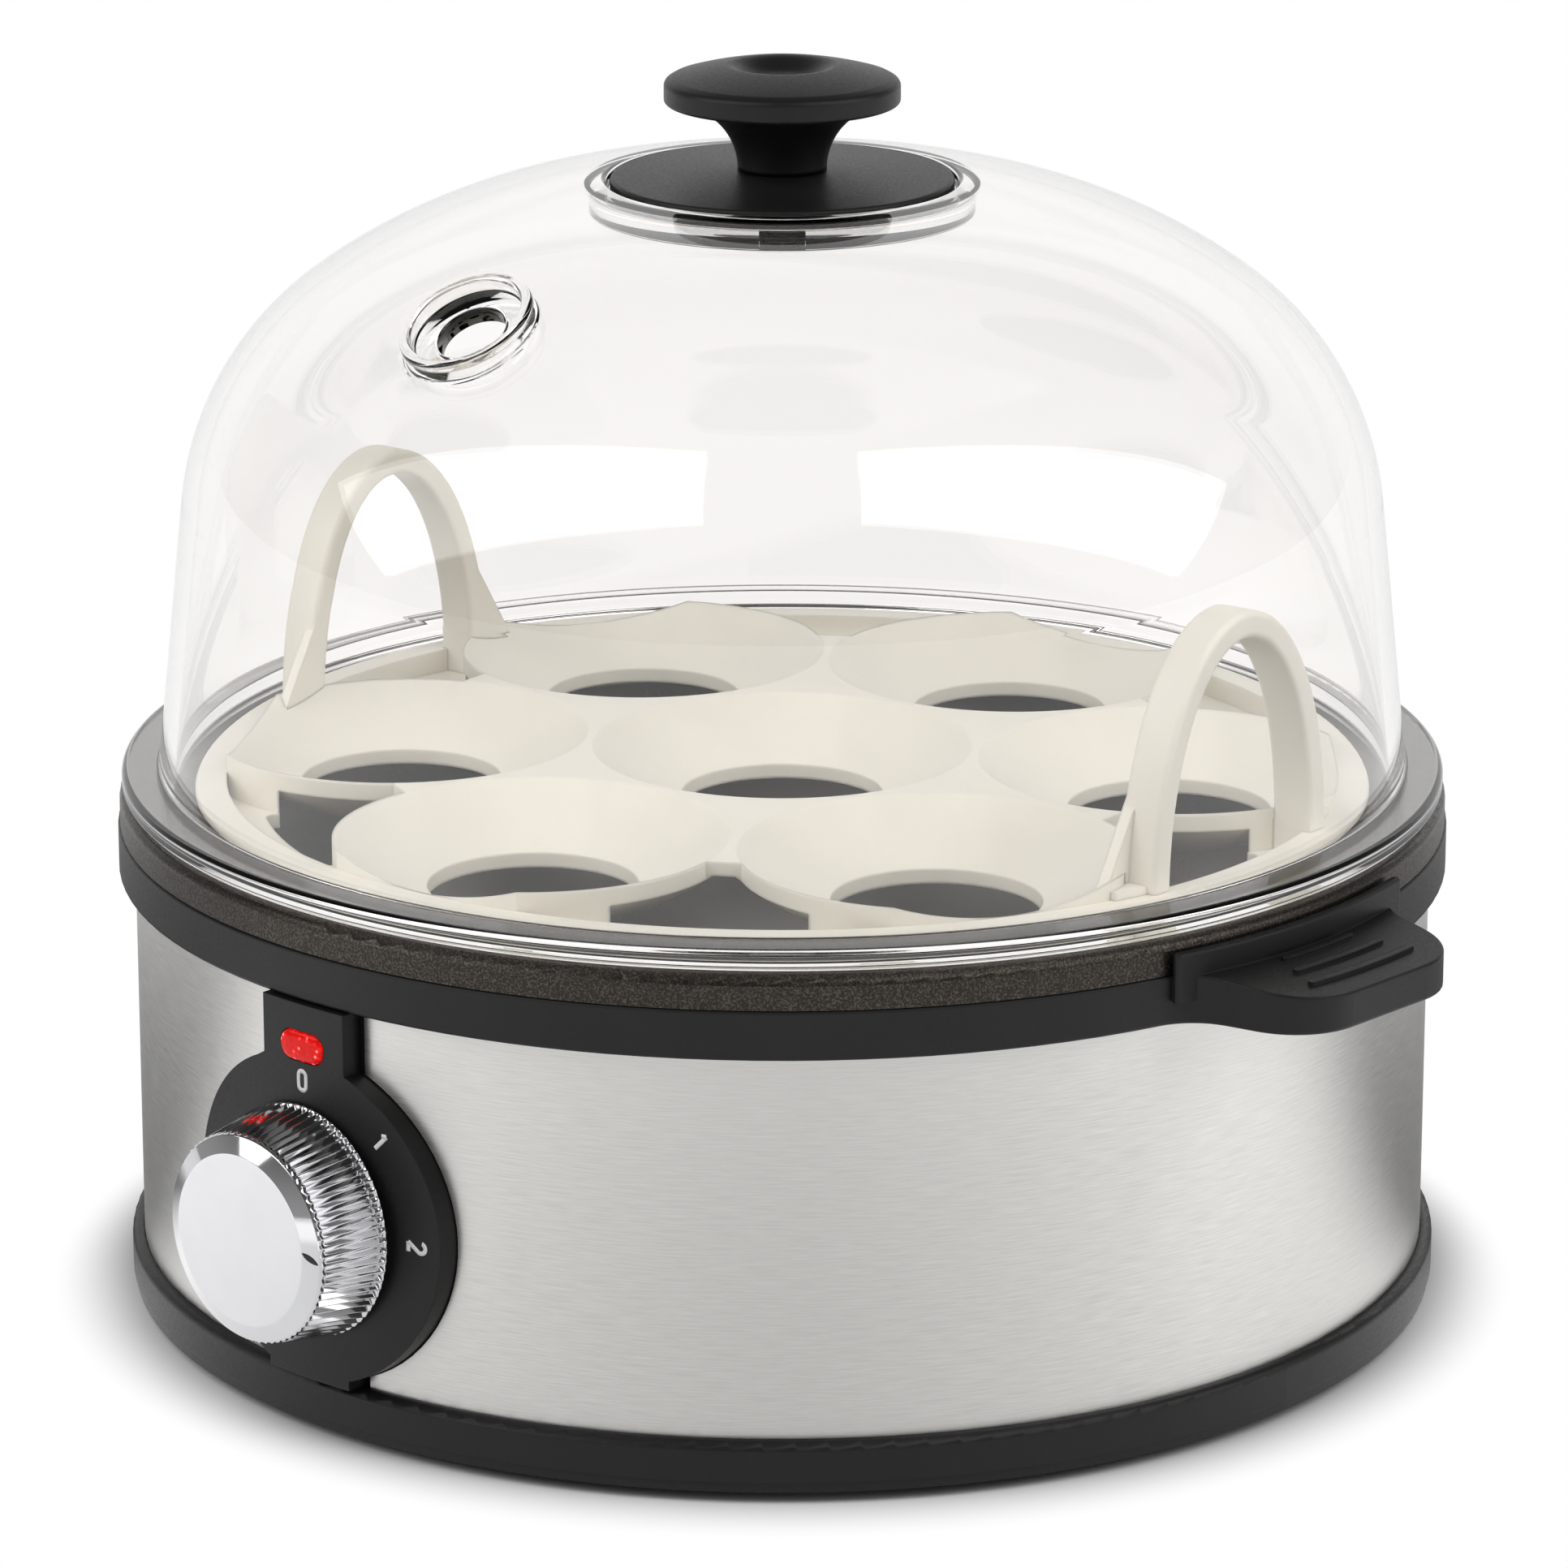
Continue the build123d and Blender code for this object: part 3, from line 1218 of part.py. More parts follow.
# Leads: each runs between two terminals below the shield, in straight runs joined by arcs
blade_end_y = -(switch_back - switch_blade_length)
supply_blade, switched_blade = switch_blade_places
supply_height = dial_height + supply_blade[1]
switched_height = dial_height + switched_blade[1]
lead_routes = {
    "lead_supply": [
        (block_ways[1], block_front, way_height),
        (block_ways[1], block_front - lead_tail - 2 * lead_radius, way_height),
        (block_ways[1] - lead_dip, 0, way_height - 2 * lead_radius),
        (supply_blade[0], blade_end_y + 2 * lead_tail, supply_height - lead_dip + 2 * lead_radius),
        (supply_blade[0], blade_end_y + lead_tail, supply_height),
        (supply_blade[0], blade_end_y, supply_height),
    ],
    "lead_switched": [
        (switched_blade[0], blade_end_y, switched_height),
        (switched_blade[0], blade_end_y + lead_tail, switched_height),
        (fuse_x, fuse_start_y - lead_tail, fuse_height),
        (fuse_x, fuse_start_y, fuse_height),
    ],
    "lead_fused": [
        (fuse_x, fuse_end_y, fuse_height),
        (fuse_x, fuse_end_y + lead_tail, fuse_height),
        (fuse_x - lead_dip, fuse_end_y + lead_tail, blade_bottom - lead_dip + 2 * lead_radius),
        (0, -blade_spacing / 2, blade_bottom - lead_dip),
        (0, -blade_spacing / 2, blade_bottom),
    ],
    "lead_heater": [
        (0, blade_spacing / 2, blade_bottom),
        (0, blade_spacing / 2, blade_bottom - lead_dip),
        (-pin_x, pin_y - 2 * lead_dip, pin_bottom - lead_dip - lead_radius),
        (-pin_x, pin_y, pin_bottom - lead_dip),
        (-pin_x, pin_y, pin_bottom),
    ],
    "lead_return": [
        (pin_x, pin_y, pin_bottom),
        (pin_x, pin_y, pin_bottom - lead_dip + lead_radius),
        (pin_x, block_front - lead_tail, way_height),
        (block_ways[0], block_front - lead_tail, way_height),
        (block_ways[0], block_front, way_height),
    ],
    "lead_earth": [
        (lug_reach, shield_boss_circle, lug_height),
        (lug_reach + lead_dip, shield_boss_circle, lug_height),
        (block_ways[2], shield_boss_circle, lug_height - lead_dip + lead_radius),
        (block_ways[2], block_front - lead_dip - lead_radius, way_height),
        (block_ways[2], block_front, way_height),
    ],
}
leads = {}
for name, route in lead_routes.items():
    with BuildPart() as lead:
        with BuildLine() as lead_path:
            FilletPolyline(*route, radius=lead_bend)
        with BuildSketch(Plane(origin=route[0], z_dir=Vector(*route[1]) - Vector(*route[0]))):
            Circle(lead_radius)
        sweep(path=lead_path.wires()[0])
    leads[name] = lead

pieces = {
    "bottom_cover": bottom_cover,
    "rubber_feet": rubber_feet,
    "cover_screws": cover_screws,
    "steel_band": steel_band,
    "top_ring": top_ring,
    "heating_pan": heating_pan,
    "pan_seal": pan_seal,
    "pan_screws": pan_screws,
    "heating_element": heating_element,
    "thermostat": thermostat,
    "thermostat_bracket": thermostat_bracket,
    "bracket_screws": bracket_screws,
    "heat_shield": heat_shield,
    "shield_screws": shield_screws,
    "shield_washers": shield_washers,
    "earth_lug": earth_lug,
    "thermal_fuse": thermal_fuse,
    "fuse_clip": fuse_clip,
    "control_panel": control_panel,
    "lamp_lens": lamp_lens,
    "lamp_holder": lamp_holder,
    "neon_lamp": neon_lamp,
    "rotary_switch": rotary_switch,
    "switch_nut": switch_nut,
    "switch_shaft": switch_shaft,
    "dial_knob": dial_knob,
    "knob_clip": knob_clip,
    "egg_tray": egg_tray,
    "tray_arches": tray_arches,
    "lid_dome": lid_dome,
    "lid_knob_base": lid_knob_base,
    "lid_knob": lid_knob,
    "lid_washer": lid_washer,
    "lid_screw": lid_screw,
    "cord_gland": cord_gland,
    "terminal_block": terminal_block,
    **leads,
}
os.makedirs("parts", exist_ok=True)
for name, piece in pieces.items():
    piece.part.label = name
    export_step(piece.part, f"parts/{name}.step")
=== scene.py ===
"""Looks of an electric egg cooker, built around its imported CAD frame. Metres, +Z up, dial towards -Y."""

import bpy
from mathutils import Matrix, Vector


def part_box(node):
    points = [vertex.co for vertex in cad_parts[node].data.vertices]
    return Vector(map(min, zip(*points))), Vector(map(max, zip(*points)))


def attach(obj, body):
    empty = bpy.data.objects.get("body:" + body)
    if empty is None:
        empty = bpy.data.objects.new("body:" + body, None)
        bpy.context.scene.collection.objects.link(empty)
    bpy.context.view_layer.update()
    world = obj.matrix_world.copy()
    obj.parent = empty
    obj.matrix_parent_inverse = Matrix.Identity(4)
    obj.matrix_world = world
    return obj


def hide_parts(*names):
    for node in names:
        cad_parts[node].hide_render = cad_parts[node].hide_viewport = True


bl_info = {
    "name": "Egg Cooker Looks",
    "version": (1, 0, 0),
    "blender": (4, 5, 0),
    "location": "View3D > Sidebar > Egg Cooker",
    "description": "Finishes, small details and a studio for an electric egg cooker",
    "category": "Object",
}

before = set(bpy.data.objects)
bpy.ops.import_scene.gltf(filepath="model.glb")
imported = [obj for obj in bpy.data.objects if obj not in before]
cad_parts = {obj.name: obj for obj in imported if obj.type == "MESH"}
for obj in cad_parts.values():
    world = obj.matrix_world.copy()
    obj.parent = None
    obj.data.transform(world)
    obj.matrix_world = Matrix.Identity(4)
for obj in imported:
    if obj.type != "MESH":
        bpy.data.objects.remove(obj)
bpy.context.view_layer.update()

from math import cos, pi, radians, sin

import bmesh
import bpy
import numpy as np
from bpy.props import FloatProperty, FloatVectorProperty, IntProperty, PointerProperty
from bpy.types import Operator, Panel, PropertyGroup
from mathutils import Matrix, Vector

MM = 0.001
IMAGE_WIDTH = 1932
FOCAL_PIXELS = 9071.15
SENSOR_WIDTH = 36.0
WHITE = (1.0, 1.0, 1.0, 1.0)
SMOOTH = {"interpolation_type": "SMOOTHSTEP"}
# TINY keeps divisions from zero, and points nearer than WELD are one.
TINY = 1e-9
WELD = 1e-7


def linear(code):
    """Linear RGBA of an sRGB hex colour: c / 12.92 when dark, else ((c + 0.055) / 1.055) to the power 2.4."""
    channels = np.array([int(code[place:place + 2], 16) for place in (1, 3, 5)]) / 255
    bent = np.where(channels <= 0.04045, channels / 12.92, ((channels + 0.055) / 1.055) ** 2.4)
    return (*bent.tolist(), 1.0)


def colour(name, code, about):
    """A colour property whose default is an sRGB hex colour."""
    return FloatVectorProperty(
        name=name, description=about, default=linear(code), size=4, subtype="COLOR", min=0.0, max=1.0
    )


def number(name, value, about, **limits):
    """A number property with its default."""
    return FloatProperty(name=name, description=about, default=value, **limits)


def length(name, millimetres, about):
    """A length property whose default is given in millimetres."""
    return number(name, millimetres * MM, about, min=0.0, unit="LENGTH")


class CookerColours(PropertyGroup):
    """Colours of the finishes that show."""

    plastic: colour("Black plastic", "#1b1b1b", "Satin black mouldings")
    steel: colour("Steel", "#d2d1ce", "Brushed band round the body")
    coating: colour("Non-stick coat", "#2a2622", "Metallic coat of the water pan")
    coating_fleck: colour("Coat flecks", "#544c44", "Bright flecks in the coat")
    chrome: colour("Chrome", "#d0d0d2", "Plating of the dial")
    ivory: colour("Ivory", "#f0ece0", "Egg tray")
    lens: colour("Lens", "#d40806", "Lamp window")
    print_ink: colour("Print", "#fbfbfa", "Numerals round the dial")


class CookerSizes(PropertyGroup):
    """Sizes of the details that are added to the frame."""

    numeral_height: length("Numeral height", 2.9, "Height of the numerals round the dial")
    numeral_stroke: length("Numeral stroke", 0.54, "Width of a numeral's stroke")
    numeral_circle: length("Numeral circle", 17.0, "Radius on which the numerals stand")
    print_lift: length("Print lift", 0.03, "Thickness of the printed ink")
    knurl_depth: length("Knurl depth", 1.0, "Depth of the grooves at the back of the dial's skirt")
    knurls: IntProperty(name="Knurls", description="Ribs round the dial's skirt", default=72, min=12)
    dome_wall: length("Dome wall", 2.0, "Thickness of the clear dome")
    dimple_depth: length("Dimple depth", 2.1, "Depth of the hollow in the lid's grip")
    dimple_radius: length("Dimple radius", 6.9, "Radius at which the hollow starts to fall")


class StudioSettings(PropertyGroup):
    """Camera and light."""

    azimuth: number("Azimuth", radians(42.65), "Camera's bearing, -Y to +X", subtype="ANGLE")
    pitch: number("Pitch", radians(16.53), "How far the camera looks down", subtype="ANGLE")
    reach: length("Reach", 873.77, "Camera's level distance from the axis")
    height: length("Height", 322.22, "Camera's height above the floor")
    focal: number("Focal length", FOCAL_PIXELS * SENSOR_WIDTH / IMAGE_WIDTH, "Lens in millimetres")
    side_step: number("Side shift", 0.0011, "Sideways shift of the frame, as a share of its width")
    box_glow: number("Softbox glow", 2.2, "Radiance of the two softboxes", min=0.0)
    room_glow: number("Room glow", 0.1, "Radiance of the room overhead", min=0.0)


def node(tree, kind, inputs=None, **settings):
    """Adds a shader node, sets its attributes, and gives each named input a value or a link.

    An input that is given a node takes that node's first output.
    """
    made = tree.nodes.new("ShaderNode" + kind)
    for name, value in settings.items():
        setattr(made, name, value)
    for name, value in (inputs or {}).items():
        source = value.outputs[0] if isinstance(value, bpy.types.Node) else value
        if isinstance(source, bpy.types.NodeSocket):
            tree.links.new(source, made.inputs[name])
        else:
            made.inputs[name].default_value = source
    return made


def span(value, start, end, low, high):
    """What a map range takes in to carry a value from the range start to end onto low to high."""
    return {"Value": value, "From Min": start, "From Max": end, "To Min": low, "To Max": high}


def noise_span(value, low, high):
    """What a map range takes in to stretch noise from its usual band, 0.3 to 0.7, onto low to high."""
    return span(value, 0.3, 0.7, low, high)


def new_material(name):
    """An empty node material, and its tree."""
    material = bpy.data.materials.new(name)
    material.use_nodes = True
    material.node_tree.nodes.clear()
    return material, material.node_tree


def grain(tree, millimetres, detail=2.0):
    """Noise in object space whose lumps are about a size in millimetres."""
    place = node(tree, "TexCoord").outputs["Object"]
    return node(tree, "TexNoise", {"Vector": place, "Scale": 1.0 / (millimetres * MM), "Detail": detail})


def shade(tree, value, tint, dark, bright):
    """A colour that runs from dark to bright times a tint as a noise value rises."""
    low = [part * dark for part in tint[:3]]
    high = [min(part * bright, 1.0) for part in tint[:3]]
    factor = node(tree, "MapRange", noise_span(value, 0.0, 1.0))
    return node(tree, "Mix", {0: factor, 6: (*low, 1.0), 7: (*high, 1.0)}, data_type="RGBA").outputs[2]


def moulded_abs(tint):
    """ABS from a spark-eroded mould: a near-black satin skin with a fine grain that breaks up highlights."""
    material, tree = new_material("spark_eroded_abs")
    fine = grain(tree, 0.34)
    broad = grain(tree, 9.0)
    soft_edges = node(tree, "Bevel", {"Radius": 0.25 * MM}, samples=4)
    relief = {"Height": fine, "Strength": 0.22, "Distance": 0.05 * MM, "Normal": soft_edges}
    look = {
        "Base Color": shade(tree, broad, tint, 0.9, 1.1),
        "Roughness": node(tree, "MapRange", noise_span(fine, 0.37, 0.47)),
        "IOR": 1.53,
        "Specular IOR Level": 0.25,
        "Normal": node(tree, "Bump", relief),
    }
    node(tree, "OutputMaterial", {"Surface": node(tree, "BsdfPrincipled", look)})
    return material


def brushed_stainless(tint):
    """Stainless sheet brushed along the band: fine level scratches that pull highlights out upright.

    The scratches run round the body, so the pattern reads the bearing times the radius, and the height.
    Real scratches are about 0.05 mm wide; these are 0.2 mm, so that they show in the picture.
    """
    material, tree = new_material("brushed_stainless_sheet")
    scratch_length_mm = 5.0
    scratch_width_mm = 0.2
    radius_mm = 80.0
    place = node(tree, "TexCoord").outputs["Object"]
    parts = node(tree, "SeparateXYZ", {"Vector": place}).outputs
    ahead = node(tree, "Math", {0: parts["Y"], 1: -1.0}, operation="MULTIPLY")
    bearing = node(tree, "Math", {0: parts["X"], 1: ahead}, operation="ARCTAN2")
    along = node(tree, "Math", {0: bearing, 1: radius_mm / scratch_length_mm}, operation="MULTIPLY")
    across = node(tree, "Math", {0: parts["Z"], 1: 1.0 / (scratch_width_mm * MM)}, operation="MULTIPLY")
    lines = node(tree, "CombineXYZ", {"X": along, "Y": across})
    fine = node(tree, "TexNoise", {"Vector": lines, "Scale": 1.0, "Detail": 3.0, "Roughness": 0.6})
    look = {
        "Base Color": shade(tree, fine, tint, 0.88, 1.1),
        "Metallic": 1.0,
        "Roughness": node(tree, "MapRange", noise_span(fine, 0.30, 0.40)),
        "Anisotropic": 0.8,
        "Anisotropic Rotation": 0.25,
        "Tangent": node(tree, "Tangent", direction_type="RADIAL", axis="Z"),
        "Normal": node(tree, "Bump", {"Height": fine, "Strength": 0.10, "Distance": 0.03 * MM}),
    }
    node(tree, "OutputMaterial", {"Surface": node(tree, "BsdfPrincipled", look)})
    return material


def nonstick_coat(tint, fleck):
    """Sprayed non-stick coat with metal flecks: a warm dark grey that sparkles where flecks catch light."""
    material, tree = new_material("sprayed_nonstick_coat")
    fine = grain(tree, 0.26, 3.0)
    flecks = node(tree, "MapRange", span(fine, 0.46, 0.68, 0.0, 1.0))
    mixed = node(tree, "Mix", {0: flecks, 6: tuple(tint), 7: tuple(fleck)}, data_type="RGBA")
    look = {
        "Base Color": mixed.outputs[2],
        "Metallic": 0.7,
        "Roughness": node(tree, "MapRange", noise_span(fine, 0.42, 0.32)),
        "Normal": node(tree, "Bump", {"Height": fine, "Strength": 0.3, "Distance": 0.06 * MM}),
    }
    node(tree, "OutputMaterial", {"Surface": node(tree, "BsdfPrincipled", look)})
    return material


def bright_chrome(tint):
    """Chrome on plastic: a mirror whose faint waviness comes from the moulding under it."""
    material, tree = new_material("bright_chrome_plate")
    wave = grain(tree, 6.0)
    look = {
        "Base Color": shade(tree, wave, tint, 0.97, 1.0),
        "Metallic": 1.0,
        "Roughness": node(tree, "MapRange", noise_span(wave, 0.05, 0.08)),
        "Normal": node(tree, "Bump", {"Height": wave, "Strength": 0.06, "Distance": 0.15 * MM}),
    }
    node(tree, "OutputMaterial", {"Surface": node(tree, "BsdfPrincipled", look)})
    return material


def ivory_polypropylene(tint):
    """Polypropylene: a milky ivory that light enters a little way, with a half-gloss moulded skin."""
    material, tree = new_material("ivory_polypropylene")
    broad = grain(tree, 14.0)
    fine = grain(tree, 0.5)
    soft_edges = node(tree, "Bevel", {"Radius": 0.5 * MM}, samples=4)
    relief = {"Height": fine, "Strength": 0.08, "Distance": 0.04 * MM, "Normal": soft_edges}
    look = {
        "Base Color": shade(tree, broad, tint, 0.97, 1.02),
        "Roughness": node(tree, "MapRange", noise_span(broad, 0.32, 0.42)),
        "IOR": 1.49,
        "Subsurface Weight": 0.25,
        "Subsurface Radius": (1.0, 0.9, 0.7),
        "Subsurface Scale": 1.2 * MM,
        "Normal": node(tree, "Bump", relief),
    }
    node(tree, "OutputMaterial", {"Surface": node(tree, "BsdfPrincipled", look)})
    return material


def clear_san():
    """SAN, a clear moulded plastic: water-clear, with a faint warm tint and mirror-like panes of light.

    Lamps shine through it: a shadow ray meets a clear surface that takes away what the walls reflect.
    """
    material, tree = new_material("clear_moulded_san")
    look = {
        "Base Color": (0.995, 0.985, 0.978, 1.0),
        "Roughness": 0.0,
        "IOR": 1.5,
        "Transmission Weight": 1.0,
    }
    clear = node(tree, "BsdfTransparent", {"Color": (0.94, 0.935, 0.93, 1.0)})
    shadow = node(tree, "LightPath").outputs["Is Shadow Ray"]
    mixed = node(tree, "MixShader", {"Fac": shadow, 1: node(tree, "BsdfPrincipled", look), 2: clear})
    node(tree, "OutputMaterial", {"Surface": mixed})
    return material


def red_acrylic_painted_glow(tint):
    """Red acrylic over a lit neon lamp, with painted light: its emission is a painted glow for the lamp
    behind it, and pale painted glints sit where its prisms would catch the lamp.
    """
    material, tree = new_material("red_acrylic_painted_glow")
    prism_mm = 0.9
    deep_red = (1.0, 0.01, 0.006, 1.0)
    painted_glint = (1.0, 0.42, 0.36, 1.0)
    place = node(tree, "TexCoord").outputs["Object"]
    prisms = node(tree, "TexVoronoi", {"Vector": place, "Scale": 1.0 / (prism_mm * MM)})
    # Painted glints: near the middle of each prism cell the painted glow turns pale pink and strongest.
    glint_share = node(tree, "MapRange", span(prisms, 0.12, 0.26, 1.0, 0.0))
    light = node(tree, "Mix", {0: glint_share, 6: deep_red, 7: painted_glint}, data_type="RGBA")
    look = {
        "Base Color": shade(tree, prisms, tint, 0.75, 1.1),
        "Roughness": 0.06,
        "IOR": 1.49,
        "Specular IOR Level": 0.15,
        # The window itself emits a painted glow that stands in for the neon lamp's light.
        "Emission Color": light.outputs[2],
        "Emission Strength": node(tree, "MapRange", span(prisms, 0.1, 0.5, 1.0, 0.25)),
    }
    node(tree, "OutputMaterial", {"Surface": node(tree, "BsdfPrincipled", look)})
    return material


def pad_print_ink(tint):
    """Pad-printed ink: a matt, nearly white film with faint specks."""
    material, tree = new_material("pad_print_ink")
    speck = grain(tree, 0.3)
    look = {
        "Base Color": shade(tree, speck, tint, 0.94, 1.0),
        "Roughness": node(tree, "MapRange", noise_span(speck, 0.5, 0.6)),
    }
    node(tree, "OutputMaterial", {"Surface": node(tree, "BsdfPrincipled", look)})
    return material


def plain_finish(name, code, roughness, metallic, grain_mm, contrast):
    """A fixed colour with a grain that varies its tone and roughness, for pieces inside the body."""
    material, tree = new_material(name)
    noise = grain(tree, grain_mm)
    look = {
        "Base Color": shade(tree, noise, linear(code), 1.0 - contrast, 1.0 + contrast),
        "Metallic": metallic,
        "Roughness": node(tree, "MapRange", noise_span(noise, roughness - 0.06, roughness + 0.06)),
        "Normal": node(tree, "Bump", {"Height": noise, "Strength": 0.12, "Distance": 0.05 * MM}),
    }
    node(tree, "OutputMaterial", {"Surface": node(tree, "BsdfPrincipled", look)})
    return material


def dress(material, *names):
    """Gives CAD nodes one material."""
    for name in names:
        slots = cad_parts[name].data.materials
        slots.clear()
        slots.append(material)


def grid_faces(rows, columns, closed=False):
    """Quads between neighbouring points of a grid stored row by row.

    The last column is joined to the first, and in a closed grid the last row is too.
    """
    row, column = np.meshgrid(np.arange(rows if closed else rows - 1), np.arange(columns), indexing="ij")
    this, after = row * columns, (row + 1) % rows * columns
    beside = (column + 1) % columns
    return np.stack((this + column, this + beside, after + beside, after + column), -1).reshape(-1, 4)


def shell(name, grids, body, material):
    """An object from grids (points, faces): poles and seams merged, faces outwards, smooth shading."""
    points = np.vstack([place for place, _ in grids])
    starts = np.cumsum([0] + [len(place) for place, _ in grids])
    faces = np.vstack([quads + start for (_, quads), start in zip(grids, starts)])
    mesh = bpy.data.meshes.new(name)
    mesh.from_pydata(points.tolist(), [], faces.tolist())
    work = bmesh.new()
    work.from_mesh(mesh)
    bmesh.ops.remove_doubles(work, verts=work.verts, dist=WELD)
    bmesh.ops.recalc_face_normals(work, faces=work.faces)
    work.to_mesh(mesh)
    work.free()
    mesh.polygons.foreach_set("use_smooth", np.ones(len(mesh.polygons), bool))
    mesh.materials.append(material)
    made = bpy.data.objects.new(name, mesh)
    bpy.context.scene.collection.objects.link(made)
    made.modifiers.new("even_shading", "WEIGHTED_NORMAL")
    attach(made, body)
    return made


def surface(name, points, body, material):
    """An object from one grid of points whose last column is joined to its first."""
    grid = (points.reshape(-1, 3), grid_faces(*points.shape[:2]))
    return shell(name, [grid], body, material)


def unit(vectors):
    """Vectors, one to a row, brought to a length of one; a vector of no length stays as it is."""
    return vectors / np.maximum(np.linalg.norm(vectors, axis=1, keepdims=True), TINY)


def rounded(corners, steps=7):
    """A profile through corners (across, along, radius), each replaced by an arc tangent to its two sides.

    The arc's centre lies on the corner's bisector, at the radius over the sine of half the corner's angle.
    """
    data = np.array(corners, float)
    place, radius = data[:, :2], data[:, 2:]
    before = unit(np.vstack((place[:1], place[:-1])) - place)
    after = unit(np.vstack((place[1:], place[-1:])) - place)
    half = np.arccos(np.clip((before * after).sum(1, keepdims=True), -1, 1)) / 2
    run = radius / np.maximum(np.tan(half), TINY)
    centre = place + unit(before + after) * radius / np.maximum(np.sin(half), TINY)
    start = place + before * run - centre
    end = place + after * run - centre
    share = np.linspace(0, 1, steps)[None, :, None]
    turn = np.maximum(pi - 2 * half, TINY)[:, None]
    curve = start[:, None] * np.sin((1 - share) * turn) + end[:, None] * np.sin(share * turn)
    points = (centre[:, None] + curve / np.sin(turn)).reshape(-1, 2)
    keep = np.ones(len(points), bool)
    keep[1:] = np.linalg.norm(np.diff(points, axis=0), axis=1) > WELD
    return points[keep]


def polar(centre, radius, angle):
    """Places in a profile at a radius from a centre, at an angle or angles above level."""
    return np.stack((centre[0] + radius * np.cos(angle), centre[1] + radius * np.sin(angle)), -1)


def repeated(profile, turns):
    """The two coordinates of a profile's points, each as a grid that repeats it for every bearing."""
    return [np.broadcast_to(profile[:, part:part + 1], (len(profile), turns)) for part in (0, 1)]


def upright(profile, turns):
    """Profile points (radius, height) carried round the Z axis."""
    angle = np.linspace(0, 2 * pi, turns, endpoint=False)
    radius, level = repeated(profile, turns)
    return np.stack((radius * np.cos(angle), radius * np.sin(angle), level), -1)


def on_panel(across, up, lift):
    """Points of the panel's curved face, from a place across and up on it, lifted off along the radius."""
    face_radius = -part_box("control_panel")[0].y
    bearing = across / face_radius
    radius = face_radius + lift
    return np.stack((radius * np.sin(bearing), -radius * np.cos(bearing), up), -1)


def black_plastic():
    """The satin black of the mouldings, made once."""
    found = bpy.data.materials.get("spark_eroded_abs")
    return found or moulded_abs(bpy.context.scene.cooker_colours.plastic)


class COOKER_OT_mouldings(Operator):
    """Finish the black base, ring and panel"""

    bl_idname = "cooker.mouldings"
    bl_label = "Black mouldings"

    def execute(self, context):
        dress(black_plastic(), "bottom_cover", "top_ring", "control_panel")
        return {"FINISHED"}


class COOKER_OT_band(Operator):
    """Finish the steel band"""

    bl_idname = "cooker.band"
    bl_label = "Steel band"

    def execute(self, context):
        dress(brushed_stainless(context.scene.cooker_colours.steel), "steel_band")
        return {"FINISHED"}


class COOKER_OT_pan(Operator):
    """Finish the water pan"""

    bl_idname = "cooker.pan"
    bl_label = "Water pan"

    def execute(self, context):
        colours = context.scene.cooker_colours
        dress(nonstick_coat(colours.coating, colours.coating_fleck), "heating_pan")
        return {"FINISHED"}


class COOKER_OT_tray(Operator):
    """Finish the egg tray"""

    bl_idname = "cooker.tray"
    bl_label = "Egg tray"

    def execute(self, context):
        ivory = ivory_polypropylene(context.scene.cooker_colours.ivory)
        dress(ivory, "egg_tray", "tray_arches")
        return {"FINISHED"}


